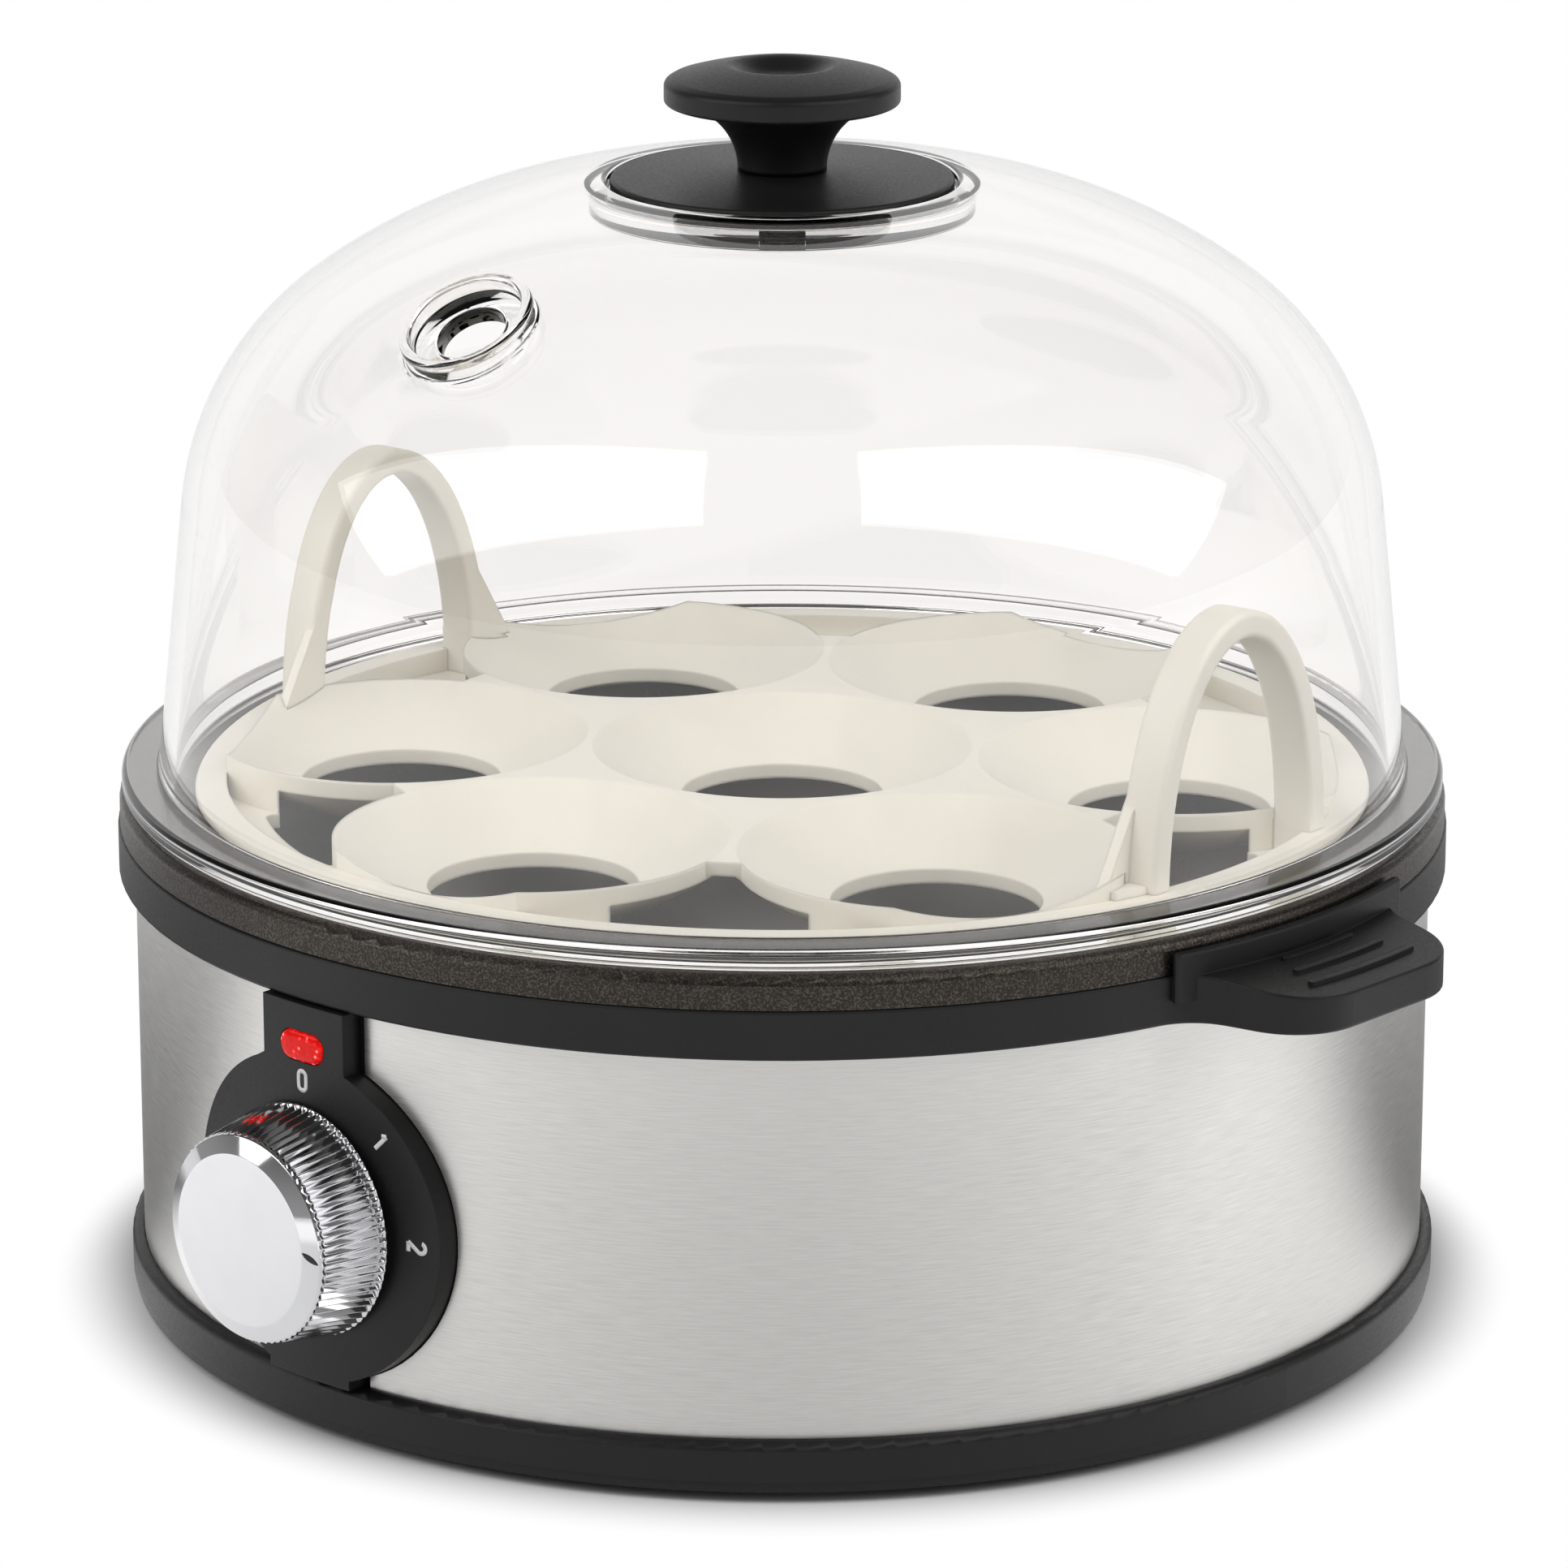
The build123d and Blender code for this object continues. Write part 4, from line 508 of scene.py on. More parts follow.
class DomeForm:
    """The dome's wall, worked out from the frame: a drafted side, a shoulder arc and a crown arc.

    Centres of arcs are pairs (radius, height), and a depth is counted inwards from the outer face.
    """

    flange_width, flange_thickness, side_height = 4.6 * MM, 2.6 * MM, 32.8 * MM
    draft, turn = radians(6.0), radians(54.4)
    shoulder, crown = 36.86 * MM, 71.67 * MM
    screw_hole, disc_clearance, vent_inset = 1.85 * MM, 0.4 * MM, 23.4 * MM
    crown_rows, shoulder_rows = 60, 44

    def __init__(self, wall):
        self.wall = wall
        self.low, self.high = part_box("lid_dome")
        disc_low, disc_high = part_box("lid_knob_base")
        self.foot = self.high.x - self.flange_width
        self.flange = self.low.z + self.flange_thickness
        self.top = (self.foot - self.side_height * np.tan(self.draft), self.flange + self.side_height)
        self.bend = polar(self.top, -self.shoulder, self.draft)
        self.cap = polar(self.bend, self.shoulder - self.crown, self.turn)
        self.floor = disc_low.z
        self.recess = disc_high.x + self.disc_clearance
        self.rim = self.recess + wall
        self.vent = self.foot - self.vent_inset
        self.lean = np.arccos((self.vent - self.cap[0]) / self.crown)

    def crown_end(self, depth):
        """The angle at which the crown, at a depth, meets the outer side of the knob's recess."""
        return np.arccos((self.rim - self.cap[0]) / (self.crown - depth))

    def profile(self):
        """The wall's closed outline, and the rows at which its outer and its inner crown start.

        It runs from the hole under the knob over the crown, down outside, and back up inside.
        """
        wall, low, high = self.wall, self.low, self.high
        crease, lip_round, flange_round = 0.25 * MM, 0.8 * MM, 0.9 * MM
        foot_round, inner_round = 0.35 * MM, 0.3 * MM
        lip = self.cap[1] + np.sqrt(self.crown**2 - (self.rim - self.cap[0]) ** 2)
        inner_foot = self.foot + self.flange_thickness * np.tan(self.draft) - wall / cos(self.draft)
        recess = rounded((
            (self.screw_hole, self.floor, 0.0),
            (self.recess, self.floor, crease),
            (self.recess, lip, lip_round),
            (self.rim, lip, 0.0),
        ))
        outer_angles = np.linspace(self.crown_end(0.0), self.turn, self.crown_rows)
        inner_angles = np.linspace(self.turn, self.crown_end(wall), self.crown_rows)
        bend_angles = np.linspace(self.turn, self.draft, self.shoulder_rows)
        inner_crown = polar(self.cap, self.crown - wall, inner_angles)
        flange = rounded((
            (*self.top, 0.0),
            (self.foot, self.flange, foot_round),
            (high.x, self.flange, flange_round),
            (high.x, low.z, flange_round),
            (inner_foot, low.z, inner_round),
            (*polar(self.bend, self.shoulder - wall, self.draft), 0.0),
        ))
        under = rounded((
            (*inner_crown[-1], 0.0),
            (self.rim, self.floor - wall, crease),
            (self.screw_hole, self.floor - wall, 0.0),
        ))
        stretches = (
            recess[:-1],
            polar(self.cap, self.crown, outer_angles),
            polar(self.bend, self.shoulder, bend_angles)[1:-1],
            flange,
            polar(self.bend, self.shoulder - wall, bend_angles[::-1])[1:-1],
            inner_crown,
            under[1:],
        )
        starts = np.cumsum([len(stretch) for stretch in stretches])
        return np.vstack(stretches), starts[0], starts[4]

    def on_wall(self, side, rise, depth):
        """Points at distances across and up the slope from the vent, at a depth in the wall."""
        crown, shoulder = self.crown - depth, self.shoulder - depth
        join = (self.turn - self.lean) * crown
        upper = rise > join
        angle = np.where(upper, self.lean + rise / crown, self.turn + (rise - join) / shoulder)
        radius = np.where(upper, crown, shoulder)
        reach = np.where(upper, self.cap[0], self.bend[0]) + radius * np.cos(angle)
        level = np.where(upper, self.cap[1], self.bend[1]) + radius * np.sin(angle)
        around = side / reach
        return np.stack((reach * np.sin(around), -reach * np.cos(around), level), -1)

    def unrolled(self, place, depth):
        """Distances across and up the slope from the vent of points of the wall at a depth."""
        crown, shoulder = self.crown - depth, self.shoulder - depth
        reach = np.hypot(place[:, 0], place[:, 1])
        around = np.arctan2(place[:, 0], -place[:, 1])
        upper = np.arctan2(place[:, 2] - self.cap[1], reach - self.cap[0])
        lower = np.arctan2(place[:, 2] - self.bend[1], reach - self.bend[0])
        join = (self.turn - self.lean) * crown
        rise = np.where(upper > self.turn, (upper - self.lean) * crown, join + (lower - self.turn) * shoulder)
        return around * reach, rise


def vent_rings(form, outer_frame, inner_frame):
    """Rings of the vent's grid, from the edge of the outer window in to the boss and out to the inner window.

    They climb over the boss's rim and go down the dish and the hole. Rings on the dome follow its wall and
    run evenly from the window's edge to a circle; the others are circles about the vent's axis.
    """
    boss, dish, bore = 8.3 * MM, 6.9 * MM, 4.25 * MM
    boss_foot = boss + 0.5 * MM
    boss_height = 2.0 * MM
    dish_edge, dish_middle = 0.3 * MM, -0.15 * MM
    rim_round, dish_round, bore_round = 0.55 * MM, 0.25 * MM, 0.4 * MM
    outer_steps, inner_steps = 10, 12
    lean = form.lean
    origin = np.array((0.0, -form.vent, form.cap[1] + form.crown * sin(lean)))
    across = np.array((1.0, 0.0, 0.0))
    slope = np.array((0.0, sin(lean), cos(lean)))
    axis = np.array((0.0, -cos(lean), sin(lean)))

    side, rise = form.unrolled(outer_frame, 0.0)
    spin = np.arctan2(rise, side)
    rings = [outer_frame]
    for share in np.linspace(0, 1, outer_steps)[1:]:
        wide = (1 - share) * side + share * boss_foot * np.cos(spin)
        tall = (1 - share) * rise + share * boss_foot * np.sin(spin)
        rings.append(form.on_wall(wide, tall, 0.0))
    sag = (rings[-1] - origin) @ axis
    drop = -sag.max()
    climb = rounded((
        (boss_foot, -drop, 0.0),
        (boss, -drop, 0.4 * MM),
        (boss, boss_height, rim_round),
        (dish, boss_height, rim_round),
        (dish, dish_edge, dish_round),
        (bore, dish_middle, bore_round),
        (bore, -form.wall - bore**2 / (2 * form.crown), 0.0),
    ))
    for radius, height in climb[1:-1]:
        ring = radius * (np.cos(spin)[:, None] * across + np.sin(spin)[:, None] * slope)
        fade = np.clip((boss_height - height) / (boss_height + drop), 0, 1) * (radius >= boss)
        rings.append(origin + ring + (height + (sag + drop) * fade)[:, None] * axis)
    side, rise = form.unrolled(inner_frame, form.wall)
    for share in np.linspace(0, 1, inner_steps)[:-1]:
        wide = share * side + (1 - share) * bore * np.cos(spin)
        tall = share * rise + (1 - share) * bore * np.sin(spin)
        rings.append(form.on_wall(wide, tall, form.wall))
    rings.append(inner_frame)
    return np.stack(rings)


class COOKER_OT_lid(Operator):
    """Build the clear dome with its flange, knob recess and vent boss"""

    bl_idname = "cooker.lid"
    bl_label = "Clear lid"

    def execute(self, context):
        form = DomeForm(context.scene.cooker_sizes.dome_wall)
        profile, outer_start, inner_start = form.profile()
        columns = 320
        points = upright(profile, columns)
        faces = grid_faces(len(profile), columns, True).reshape(len(profile), columns, 4)

        # A window of cells is left out of the outer and the inner crown, round the vent at -Y. Its edge's
        # points are kept in order round it, and the inner ones are put in step with the outer ones.
        half_rows, half_columns = 17, 11
        left = 3 * columns // 4 - half_columns
        outer_end, inner_end = form.crown_end(0.0), form.crown_end(form.wall)
        outer_share = (outer_end - form.lean) / (outer_end - form.turn)
        inner_share = (form.lean - form.turn) / (inner_end - form.turn)
        keep = np.ones(faces.shape[:2], bool)
        edges = []
        for start, share in ((outer_start, outer_share), (inner_start, inner_share)):
            row = start + int(round(share * (form.crown_rows - 1))) - half_rows
            keep[row:row + 2 * half_rows, left:left + 2 * half_columns] = False
            part = points[row:row + 2 * half_rows + 1, left:left + 2 * half_columns + 1]
            edges.append(np.vstack((part[0, :-1], part[:-1, -1], part[-1, :0:-1], part[:0:-1, 0])))
        inner_edge = np.roll(edges[1][::-1], 1 - 2 * half_rows, axis=0)
        rings = vent_rings(form, edges[0], inner_edge)

        grids = [
            (points.reshape(-1, 3), faces[keep]),
            (rings.reshape(-1, 3), grid_faces(*rings.shape[:2])),
        ]
        dome = shell("lid_dome_skin", grids, "lid", clear_san())
        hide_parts("lid_dome")
        return {"FINISHED"}


class COOKER_OT_grip(Operator):
    """Build the lid's grip and the disc under it"""

    bl_idname = "cooker.grip"
    bl_label = "Lid grip"

    foot, neck_height, disc_edge = 5.4 * MM, 8.1 * MM, 3.05 * MM
    edge_height, edge_rise = 2.6 * MM, 0.55 * MM

    def execute(self, context):
        self.add_grip(context.scene.cooker_sizes)
        self.add_disc()
        return {"FINISHED"}

    def add_grip(self, sizes):
        """The grip: a flared neck, a rounded edge, and a crown with a hollow in its middle."""
        low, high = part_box("lid_knob")
        rim = high.x
        foot = self.foot
        side_bottom = low.z + self.neck_height
        side_top = side_bottom + self.edge_height
        crown_edge = rim - 1.0 * MM
        # The neck is an arc that leaves the disc upright: its centre is level with the foot.
        flare = ((rim - foot) ** 2 + (side_bottom - low.z) ** 2) / (2 * (rim - foot))
        reach = np.arcsin((side_bottom - low.z) / flare) * np.linspace(0, 1, 24)
        neck = np.column_stack((foot + flare * (1 - np.cos(reach)), low.z + flare * np.sin(reach)))
        edge = rounded((
            (rim - 0.9 * MM, side_bottom, 0.0),
            (rim, side_bottom, 0.5 * MM),
            (rim, side_top, 0.9 * MM),
            (crown_edge, side_top + self.edge_rise, 0.0),
        ))
        # The crown is a shallow paraboloid, less a hollow that falls as a smooth step.
        step_width = 0.62
        across = np.linspace(crown_edge, 0, 60)
        hollow = np.clip((1 - across / sizes.dimple_radius) / step_width, 0, 1)
        fall = sizes.dimple_depth * hollow**2 * (3 - 2 * hollow)
        rise = high.z - side_top - 0.1 * MM
        crown = side_top + self.edge_rise + rise * (1 - (across / crown_edge) ** 2) - fall
        top = np.column_stack((across, np.minimum(crown, high.z)))
        base = np.array(((0.0, low.z),))
        profile = np.vstack((base, neck[:-1], edge, top[1:]))
        grip = surface("lid_grip_skin", upright(profile, 128), "lid", black_plastic())
        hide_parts("lid_knob")

    def add_disc(self):
        """The disc: a shallow cone from the grip's foot to a rounded edge, flat underneath."""
        low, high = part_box("lid_knob_base")
        rim = high.x
        corner, edge_round, foot_round = 0.3 * MM, 0.45 * MM, 2.0 * MM
        slope = rounded((
            (0.0, low.z, 0.0),
            (rim - corner, low.z, corner),
            (rim, low.z + 0.4 * MM, corner),
            (rim, low.z + self.disc_edge, edge_round),
            (self.foot + 1.2 * MM, high.z - 0.05 * MM, foot_round),
            (self.foot, high.z, 0.0),
            (0.0, high.z, 0.0),
        ))
        disc = surface("lid_disc_skin", upright(slope, 160), "lid", black_plastic())
        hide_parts("lid_knob_base")


class COOKER_OT_dial(Operator):
    """Build the chromed dial with its knurled skirt and pointer"""

    bl_idname = "cooker.dial"
    bl_label = "Dial"

    face, face_sink, taper = 10.4 * MM, 0.05 * MM, 1.5 * MM
    bevel_depth, bevel_inset, bevel_step = 1.25 * MM, 1.75 * MM, 0.3 * MM
    end_groove = 0.12

    def execute(self, context):
        low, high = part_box("dial_knob")
        self.middle = (low.z + high.z) / 2
        self.back, self.front, self.skirt = -high.y, -low.y, high.x
        self.shoulder = self.front - self.bevel_depth
        self.add_knob(context.scene)
        self.add_pointer()
        return {"FINISHED"}

    def grooves(self, sizes):
        """Bearings, and the skirt's radius and distance from the axis of the body, on a grid.

        The skirt is a cone with V grooves, a triangle wave of the bearing. They are half as deep in front as
        at the back, and fade out at the two plain ends.
        """
        along = np.concatenate((np.linspace(0, 0.08, 8), np.linspace(0.16, 0.84, 9), np.linspace(0.92, 1, 8)))
        within = np.array((0.0, 0.06, 0.25, 0.44, 0.5, 0.56, 0.75, 0.94))
        rib = (np.arange(sizes.knurls)[:, None] + within).ravel()
        valley = 2 * np.abs(rib % 1 - 0.5)
        fade_length = 0.07
        ends = np.clip(np.minimum(along, 1 - along) / fade_length, 0, 1)
        ends = ends * ends * (3 - 2 * ends)
        shallower = 1 - 0.5 * along
        depth = sizes.knurl_depth * (self.end_groove + (1 - self.end_groove) * ends * shallower)
        radius = (self.skirt - self.taper * along)[:, None] - depth[:, None] * valley[None, :]
        away = np.broadcast_to((self.back + (self.shoulder - self.back) * along)[:, None], radius.shape)
        return rib * 2 * pi / sizes.knurls, radius, away

    def add_knob(self, scene):
        """The knob's closed surface: its cavity behind, the grooved skirt, the bevel and the face."""
        sizes = scene.cooker_sizes
        angle, skirt_radius, skirt_away = self.grooves(sizes)
        back, front, skirt, face = self.back, self.front, self.skirt, self.face
        end_depth = self.end_groove * sizes.knurl_depth
        bevel = rounded((
            (skirt - self.taper - end_depth, self.shoulder, 0.0),
            (skirt - self.bevel_inset, self.shoulder + self.bevel_step, 0.25 * MM),
            (face, front - self.face_sink, 0.5 * MM),
            (face - 0.6 * MM, front - self.face_sink, 0.0),
            (0.0, front - 0.09 * MM, 0.0),
        ))
        bore, hub, inside = 3.1 * MM, 5.4 * MM, 11.0 * MM
        bore_end, hub_end, roof = front - 1.9 * MM, back + 0.8 * MM, front - 2.9 * MM
        corner = 0.3 * MM
        cavity = rounded(
            (
                (0.0, bore_end, 0.0),
                (bore, bore_end, 0.0),
                (bore, hub_end, 0.0),
                (hub, hub_end, 0.0),
                (hub, roof, corner),
                (inside, roof, corner),
                (inside, back, 0.0),
                (skirt - end_depth, back, 0.0),
            ),
            4,
        )
        front_radius, front_away = repeated(bevel[1:], len(angle))
        back_radius, back_away = repeated(cavity[:-1], len(angle))
        radius = np.vstack((back_radius, skirt_radius, front_radius))
        away = np.vstack((back_away, skirt_away, front_away))
        points = np.stack((radius * np.cos(angle), -away, self.middle + radius * np.sin(angle)), -1)
        chrome = bright_chrome(scene.cooker_colours.chrome)
        knob = surface("dial_skin", points, "dial", chrome)
        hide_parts("dial_knob")

    def add_pointer(self):
        """The pointer: a leaf with two sharp ends that lies aslant on the bevel, filled with a dark painted
        reflection of what a chrome bump there would mirror.
        """
        half_length, half_width, crown = 1.15 * MM, 0.36 * MM, 0.06 * MM
        out_from_face, to_side = 0.95 * MM, 0.4 * MM
        aslant = radians(-35.0)
        turn = np.linspace(0, 2 * pi, 48, endpoint=False)
        ring = np.linspace(0, 1, 6)[:, None]
        length_way = ring * half_length * np.cos(turn)
        width_way = ring * half_width * np.sin(turn) * np.abs(np.sin(turn)) ** 0.6
        out = self.face + out_from_face + length_way * cos(aslant) - width_way * sin(aslant)
        side = to_side + length_way * sin(aslant) + width_way * cos(aslant)
        fall = self.front - self.shoulder - self.bevel_step - self.face_sink
        slope = fall / (self.skirt - self.bevel_inset - self.face)
        beyond = np.maximum(np.hypot(out, side) - self.face, 0)
        away = self.front - self.face_sink - beyond * slope + crown * (1 - ring**4)
        drop = np.stack((out, -away, self.middle + side), -1)
        # The dark fill is a painted reflection of the chrome pointer's dark surroundings.
        dark = plain_finish("painted_reflection_fill", "#1c1c1c", 0.5, 0.0, 0.4, 0.1)
        mark = surface("dial_pointer", drop, "dial", dark)
        mark.modifiers.clear()


def stroke(path, width):
    """Both edges of a stroke: each path point moved half a width to the left and right of its course."""
    course = unit(np.gradient(path, axis=0))
    left = np.stack((-course[:, 1], course[:, 0]), -1) * width / 2
    return np.stack((path + left, path - left))


def numeral_paths(high, wide):
    """Centre lines of the numerals 0, 1 and 2 about their own middle: a slot, a flagged bar, and a hook."""
    turn = np.linspace(0, 2 * pi, 49)
    straight = high / 2 - wide / 2
    nought = np.stack(
        (wide / 2 * np.sin(turn), wide / 2 * np.cos(turn) + straight * np.clip(4 * np.cos(turn), -1, 1)), -1
    )
    bar = 0.08 * wide
    one = [
        np.linspace((-0.34 * wide, 0.30 * high), (bar, high / 2), 6),
        np.linspace((bar, high / 2), (bar, -high / 2), 8),
    ]
    bend = np.linspace(radians(165), radians(-40), 26)
    bow = wide / 2
    hook = np.stack((bow * np.cos(bend), high / 2 - bow + bow * np.sin(bend)), -1)
    two = [
        np.vstack((hook, np.linspace(hook[-1], (-wide / 2, -high / 2), 10)[1:])),
        np.linspace((-wide / 2, -high / 2), (wide / 2, -high / 2), 6),
    ]
    return {"nought": [nought], "one": one, "two": two}


class COOKER_OT_numerals(Operator):
    """Print the numerals round the dial"""

    bl_idname = "cooker.numerals"
    bl_label = "Dial numerals"

    def execute(self, context):
        sizes = context.scene.cooker_sizes
        low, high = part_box("dial_knob")
        middle = (low.z + high.z) / 2
        tall = sizes.numeral_height - sizes.numeral_stroke
        width_share = 0.52
        ink = pad_print_ink(context.scene.cooker_colours.print_ink)
        for count, (name, strokes) in enumerate(numeral_paths(tall, width_share * tall).items()):
            # Each numeral is turned with its place on the circle, 45 degrees clockwise from the one before.
            turn = radians(45 * count)
            for part, path in enumerate(strokes):
                edges = stroke(path, sizes.numeral_stroke)
                outward = edges[..., 1] + sizes.numeral_circle
                across = edges[..., 0] * cos(turn) + outward * sin(turn)
                up = middle + outward * cos(turn) - edges[..., 0] * sin(turn)
                top = on_panel(across, up, sizes.print_lift)
                foot = on_panel(across, up, 0.0)
                band = np.stack((foot[0], top[0], top[1], foot[1]), 1)
                made = surface(f"numeral_{name}_{part}", band, "base", ink)
                made.modifiers.clear()
        return {"FINISHED"}


class COOKER_OT_lamp(Operator):
    """Build the lamp's red window"""

    bl_idname = "cooker.lamp"
    bl_label = "Lamp window"

    def execute(self, context):
        low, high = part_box("lamp_lens")
        middle = (low.z + high.z) / 2
        face, seat = -low.y, -high.y
        half, run = 1.8 * MM, 1.7 * MM
        flange, flange_thickness = 1.2 * MM, 1.2 * MM
        edge_sink, swell = 0.55 * MM, 0.46 * MM
        prism_pitch, prism_depth = 1.2 * MM, 0.05 * MM

        # Rows: the flange behind, the wall, a rounded rim, and a window that bulges and is cut into prisms.
        window = np.array((0.0, 0.05, 0.2, 0.42, 0.7, 1.0, 1.3, 1.55, 1.7, 1.8)) * MM
        inset = np.concatenate(((-flange, -flange, 0.0), window))
        bulge = np.clip(inset / half, 0, 1)
        flange_away = (seat, seat + flange_thickness, seat + flange_thickness)
        window_away = face - edge_sink + swell * np.sqrt(1 - (1 - window / half) ** 2)
        turn = np.linspace(0, 2 * pi, 96, endpoint=False)
        ring = (half - inset)[:, None]
        slide = (run * (1 - bulge**3))[:, None]
        across = ring * np.cos(turn) + slide * np.clip(6 * np.cos(turn), -1, 1)
        up = ring * np.sin(turn)
        ridges = np.cos(2 * pi * across / prism_pitch) * np.cos(2 * pi * up / prism_pitch)
        away = np.concatenate((flange_away, window_away))[:, None] + prism_depth * ridges * bulge[:, None]
        points = np.stack((across, -away, middle + up), -1)
        acrylic = red_acrylic_painted_glow(context.scene.cooker_colours.lens)
        lens = surface("lamp_window", points, "base", acrylic)
        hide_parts("lamp_lens")
        return {"FINISHED"}


# Name, colour, roughness, metallic, grain in millimetres, contrast of the grain, and the pieces that have it.
INNER_FINISHES = (
    # Nitrile rubber: a dull black skin
    ("nitrile_rubber", "#1b1b1b", 0.75, 0.0, 0.4, 0.15, ("rubber_feet", "pan_seal", "cord_gland")),
    # Zinc plate: a pale metal with a slight mottle
    (
        "bright_zinc_plate", "#c4c4c0", 0.3, 1.0, 1.5, 0.12,
        (
            "cover_screws", "pan_screws", "thermostat_bracket", "bracket_screws", "shield_screws",
            "shield_washers", "fuse_clip", "switch_nut", "switch_shaft", "knob_clip", "lid_washer",
            "lid_screw",
        ),
    ),
    # Phenolic: a hard dark moulding, slightly brown
    (
        "phenolic_moulding", "#3a3532", 0.5, 0.0, 0.6, 0.12,
        ("thermostat", "lamp_holder", "rotary_switch"),
    ),
    # Sheathed steel: dull with oxide
    ("oxidised_sheath_steel", "#8a8782", 0.5, 1.0, 2.0, 0.2, ("heating_element",)),
    # Aluminised sheet: pale grey with a soft spangle
    ("aluminised_sheet", "#c9cacb", 0.38, 1.0, 4.0, 0.1, ("heat_shield",)),
    # Tinned brass: a warm pale metal
    ("tinned_brass", "#c8b27a", 0.3, 1.0, 1.0, 0.1, ("earth_lug", "thermal_fuse")),
    # Soda glass of a lit neon lamp: a pale orange gloss
    ("lit_neon_glass", "#f0b894", 0.12, 0.0, 2.0, 0.1, ("neon_lamp",)),
    # Natural nylon: milky white
    ("natural_nylon", "#e8e6dc", 0.5, 0.0, 1.0, 0.05, ("terminal_block",)),
    # Silicone sleeve: an even matt skin in the lead's colour
    (
        "brown_silicone_sleeve", "#7a4a28", 0.6, 0.0, 0.5, 0.1,
        ("lead_supply", "lead_switched", "lead_fused", "lead_heater"),
    ),
    ("blue_silicone_sleeve", "#2f5fae", 0.6, 0.0, 0.5, 0.1, ("lead_return",)),
    ("green_silicone_sleeve", "#6f9f3a", 0.6, 0.0, 0.5, 0.1, ("lead_earth",)),
)


class COOKER_OT_works(Operator):
    """Finish the pieces inside the body, the feet and the gland"""

    bl_idname = "cooker.works"
    bl_label = "Inner works"

    def execute(self, context):
        for *look, pieces in INNER_FINISHES:
            dress(plain_finish(*look), *pieces)
        return {"FINISHED"}


def seen_direct(tree):
    """Two flags for rays that lit no surface: from the eye, also through clear pieces, and from mirrors."""
    rays = node(tree, "LightPath").outputs
    unscattered = node(tree, "Math", {0: rays["Diffuse Depth"], 1: 0.5}, operation="LESS_THAN")
    clear = node(
        tree, "Math", {0: rays["Is Camera Ray"], 1: rays["Is Transmission Ray"]}, operation="MAXIMUM"
    )
    direct = node(tree, "Math", {0: clear, 1: unscattered}, operation="MULTIPLY")
    mirrored = node(tree, "Math", {0: rays["Is Glossy Ray"], 1: unscattered}, operation="MULTIPLY")
    return direct, mirrored


def pale_floor(near):
    """A matt sweep that takes the shadow beside the body, and is pure white to the eye further out.

    It is white in front and grey behind. Metal sees it brightest at the sides, which gives the band its two
    pale stripes: facing is the cosine of the bearing from the camera's side. Far behind, where the lid's
    edges mirror it, it is white again.
    """
    material, tree = new_material("matt_white_sweep")
    grey, pale = (0.22, 0.22, 0.22, 1.0), (0.88, 0.88, 0.88, 1.0)
    place = node(tree, "TexCoord").outputs["Object"]
    ahead = node(tree, "VectorMath", {0: place, 1: tuple(near)}, operation="DOT_PRODUCT").outputs["Value"]
    distance = node(tree, "VectorMath", {0: place}, operation="LENGTH").outputs["Value"]
    facing = node(tree, "Math", {0: ahead, 1: distance}, operation="DIVIDE")
    front = node(tree, "MapRange", span(facing, -0.28, 0.22, 0.0, 1.0), **SMOOTH)
    tone = node(tree, "Mix", {0: front, 6: grey, 7: pale}, data_type="RGBA").outputs[2]
    matt = node(tree, "BsdfDiffuse", {"Color": tone})

    direct, mirrored = seen_direct(tree)
    aside = node(tree, "MapRange", span(facing, 1.0, 0.28, 0.30, 0.86))
    sides = node(tree, "Math", {0: aside, 1: front}, operation="MULTIPLY")
    far = node(tree, "MapRange", span(distance, 170 * MM, 300 * MM, 0.12, 0.9), **SMOOTH)
    stripe = node(tree, "Math", {0: sides, 1: far}, operation="MAXIMUM")
    shine = node(tree, "Math", {0: mirrored, 1: stripe}, operation="MULTIPLY")
    glow = node(tree, "Emission", {"Color": WHITE, "Strength": shine})
    lit = node(tree, "AddShader", {0: matt, 1: glow})

    rise = node(tree, "MapRange", span(distance, 78 * MM, 92 * MM, 0.0, 1.0), **SMOOTH)
    cleared = node(tree, "Math", {0: direct, 1: rise}, operation="MULTIPLY")
    white = node(tree, "Emission", {"Color": WHITE, "Strength": 1.0})
    mixed = node(tree, "MixShader", {"Fac": cleared, 1: lit, 2: white})
    node(tree, "OutputMaterial", {"Surface": mixed})
    return material


def pale_room(glow, near):
    """A dim room, paler low down, that the eye sees as white, also through the lid, and mirrors do behind."""
    world = bpy.data.worlds.new("pale_room")
    world.use_nodes = True
    tree = world.node_tree
    tree.nodes.clear()
    aim = node(tree, "TexCoord").outputs["Generated"]
    level = node(tree, "SeparateXYZ", {"Vector": aim}).outputs["Z"]
    dim = node(tree, "MapRange", span(level, 0.0, 0.5, 4 * glow, glow), **SMOOTH)
    ahead = node(tree, "VectorMath", {0: aim, 1: tuple(near)}, operation="DOT_PRODUCT").outputs["Value"]
    rear = node(tree, "MapRange", span(ahead, -0.55, -0.85, 0.0, 0.9), **SMOOTH)
    direct, mirrored = seen_direct(tree)
    behind = node(tree, "Math", {0: mirrored, 1: rear}, operation="MULTIPLY")
    share = node(tree, "Math", {0: direct, 1: behind}, operation="MAXIMUM")
    strength = node(tree, "Mix", {0: share, 2: dim, 3: 1.0}, data_type="FLOAT")
    back = node(tree, "Background", {"Color": WHITE, "Strength": strength})
    node(tree, "OutputWorld", {"Surface": back})
    return world


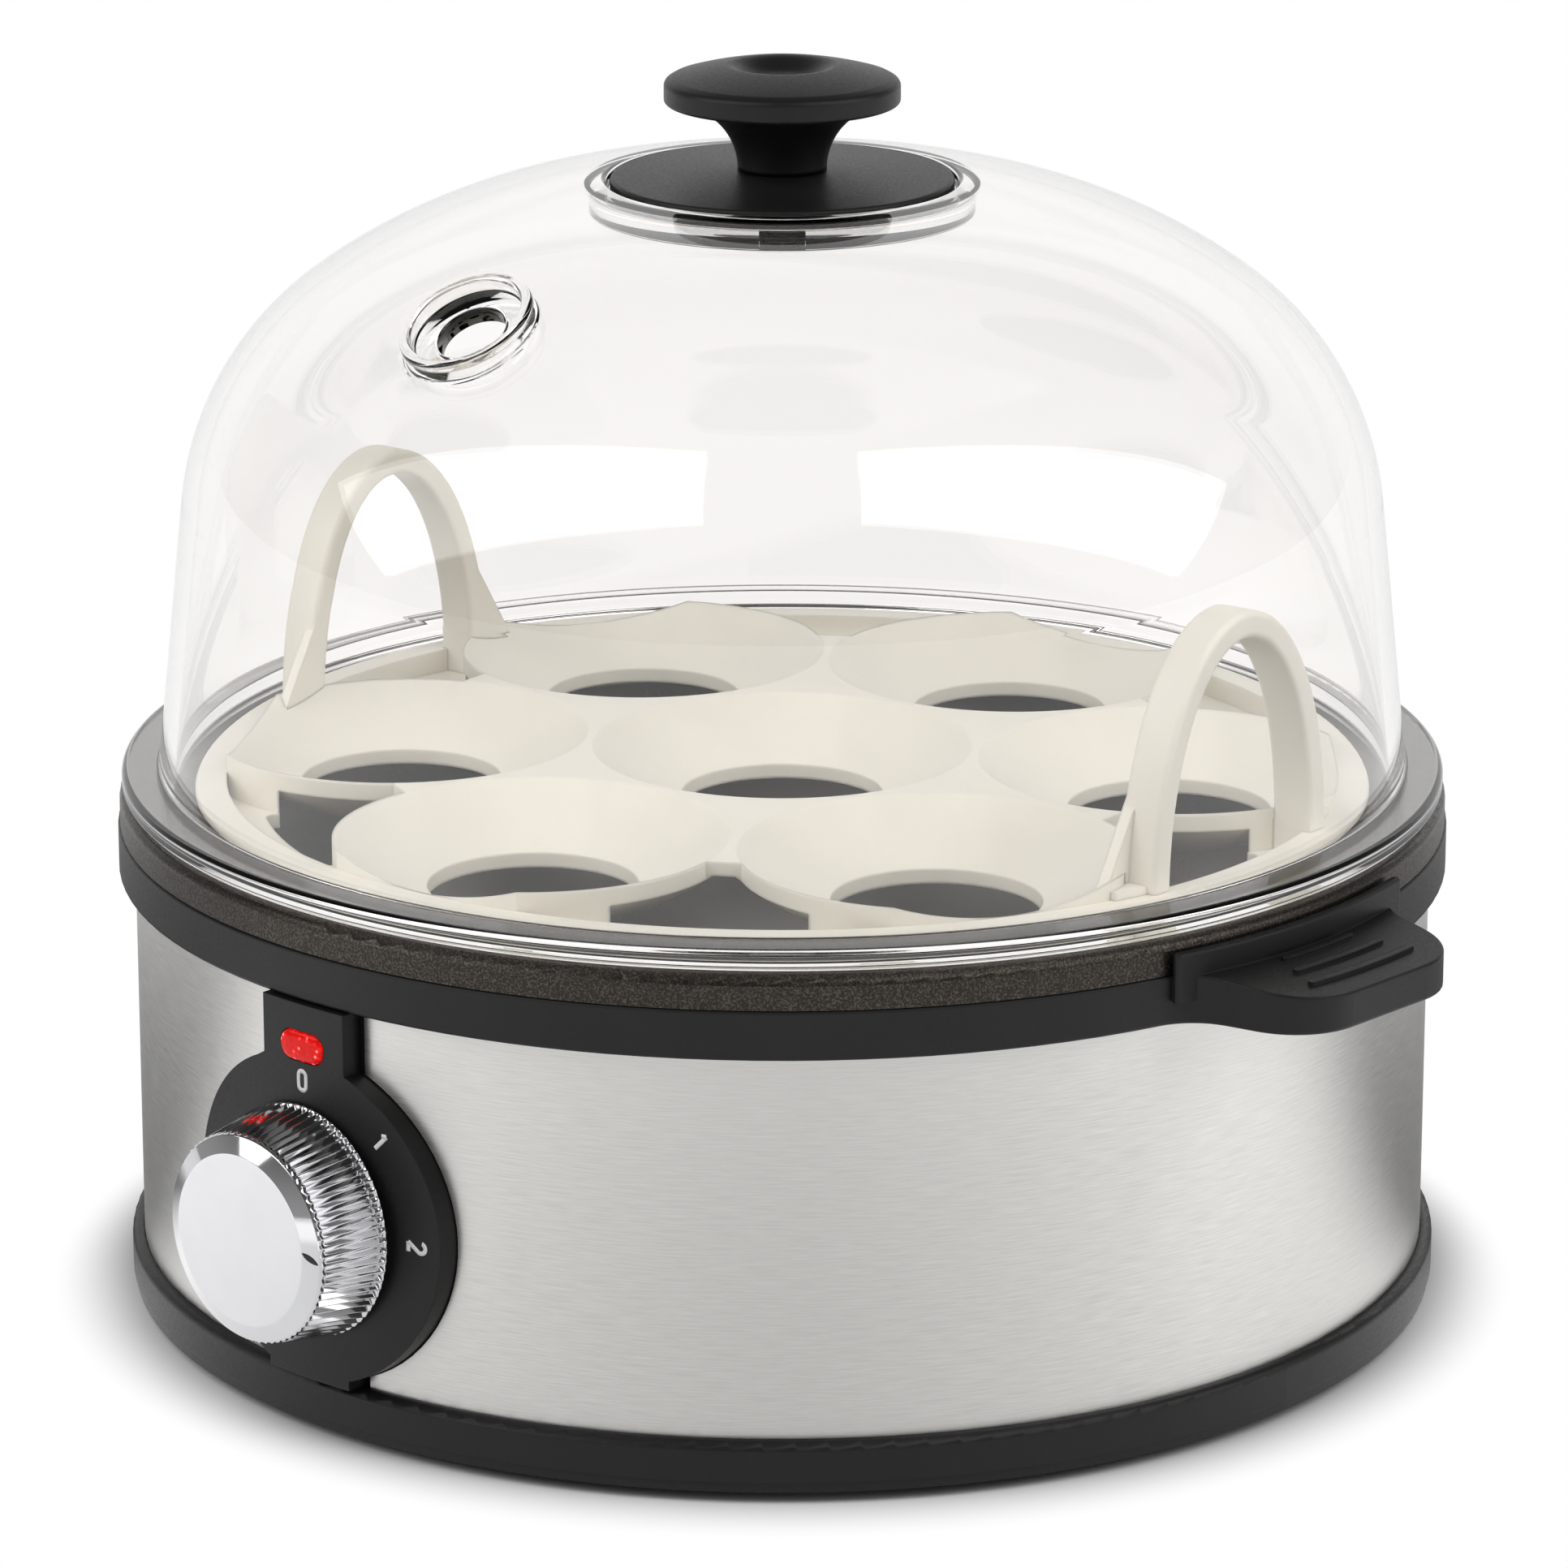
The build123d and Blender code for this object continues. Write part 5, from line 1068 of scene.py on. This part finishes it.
def add_panel_light(name, place, along, across, size, radiance):
    """A rectangular lamp at a place, with its face's two directions, that shines away from their cross."""
    light = bpy.data.lights.new(name, "AREA")
    light.shape = "RECTANGLE"
    light.size, light.size_y = size
    light.energy = radiance * pi * size[0] * size[1]
    lamp = bpy.data.objects.new(name, light)
    turn = Matrix((along, across, along.cross(across))).transposed().to_4x4()
    lamp.matrix_world = Matrix.Translation(place) @ turn
    bpy.context.scene.collection.objects.link(lamp)


class COOKER_OT_stage(Operator):
    """Set up the floor, the softboxes, the room light and the camera"""

    bl_idname = "cooker.stage"
    bl_label = "Studio"

    def execute(self, context):
        scene = context.scene
        studio = scene.cooker_studio
        scene.view_settings.view_transform = "Standard"

        bearing = studio.azimuth
        right = Vector((cos(bearing), sin(bearing), 0))
        near = Vector((sin(bearing), -cos(bearing), 0))
        up = Vector((0, 0, 1))
        scene.world = pale_room(studio.room_glow, near)

        half = 4.0
        mesh = bpy.data.meshes.new("floor")
        corners = [(-half, -half, 0), (half, -half, 0), (half, half, 0), (-half, half, 0)]
        mesh.from_pydata(corners, [], [(0, 1, 2, 3)])
        mesh.materials.append(pale_floor(near))
        floor = bpy.data.objects.new("floor", mesh)
        scene.collection.objects.link(floor)

        # The softboxes stand one metre off, high on both sides of the camera, with their long sides aslant.
        target = Vector((0, 0, 0.1))
        box_size = (1.3, 0.56)
        for side, name in ((-1, "left"), (1, "right")):
            out = (right * (0.707 * side) + near * 0.353 + up * 0.613).normalized()
            along = (right * (-0.70 * side) + near * 0.47 + up * 0.535).normalized()
            across = out.cross(along).normalized()
            along = across.cross(out)
            add_panel_light(f"{name}_softbox", target + out, along, across, box_size, studio.box_glow)

        view = bpy.data.cameras.new("camera")
        view.sensor_width = SENSOR_WIDTH
        view.lens = studio.focal
        view.shift_x = studio.side_step
        view.clip_start = 0.01
        view.clip_end = 100.0
        camera = bpy.data.objects.new("camera", view)
        camera.location = near * studio.reach + up * studio.height
        camera.rotation_euler = (pi / 2 - studio.pitch, 0, bearing)
        scene.collection.objects.link(camera)
        scene.camera = camera
        return {"FINISHED"}


PIECES = (
    COOKER_OT_mouldings, COOKER_OT_band, COOKER_OT_pan, COOKER_OT_tray, COOKER_OT_lid, COOKER_OT_grip,
    COOKER_OT_dial, COOKER_OT_numerals, COOKER_OT_lamp, COOKER_OT_works, COOKER_OT_stage,
)


class COOKER_PT_looks(Panel):
    """Lists the colours, sizes and operators"""

    bl_idname = "COOKER_PT_looks"
    bl_label = "Egg Cooker"
    bl_space_type = "VIEW_3D"
    bl_region_type = "UI"
    bl_category = "Egg Cooker"

    def draw(self, context):
        scene = context.scene
        for group in (scene.cooker_colours, scene.cooker_sizes, scene.cooker_studio):
            column = self.layout.column()
            for name in group.__annotations__:
                column.prop(group, name)
        for piece in PIECES:
            self.layout.operator(piece.bl_idname)


CLASSES = (CookerColours, CookerSizes, StudioSettings, *PIECES, COOKER_PT_looks)


def register():
    for entry in CLASSES:
        bpy.utils.register_class(entry)
    bpy.types.Scene.cooker_colours = PointerProperty(type=CookerColours)
    bpy.types.Scene.cooker_sizes = PointerProperty(type=CookerSizes)
    bpy.types.Scene.cooker_studio = PointerProperty(type=StudioSettings)


def unregister():
    del bpy.types.Scene.cooker_studio
    del bpy.types.Scene.cooker_sizes
    del bpy.types.Scene.cooker_colours
    for entry in reversed(CLASSES):
        bpy.utils.unregister_class(entry)


def main():
    register()
    bpy.ops.cooker.mouldings()
    bpy.ops.cooker.band()
    bpy.ops.cooker.pan()
    bpy.ops.cooker.tray()
    bpy.ops.cooker.lid()
    bpy.ops.cooker.grip()
    bpy.ops.cooker.dial()
    bpy.ops.cooker.numerals()
    bpy.ops.cooker.lamp()
    bpy.ops.cooker.works()
    bpy.ops.cooker.stage()


if __name__ == "__main__":
    main()
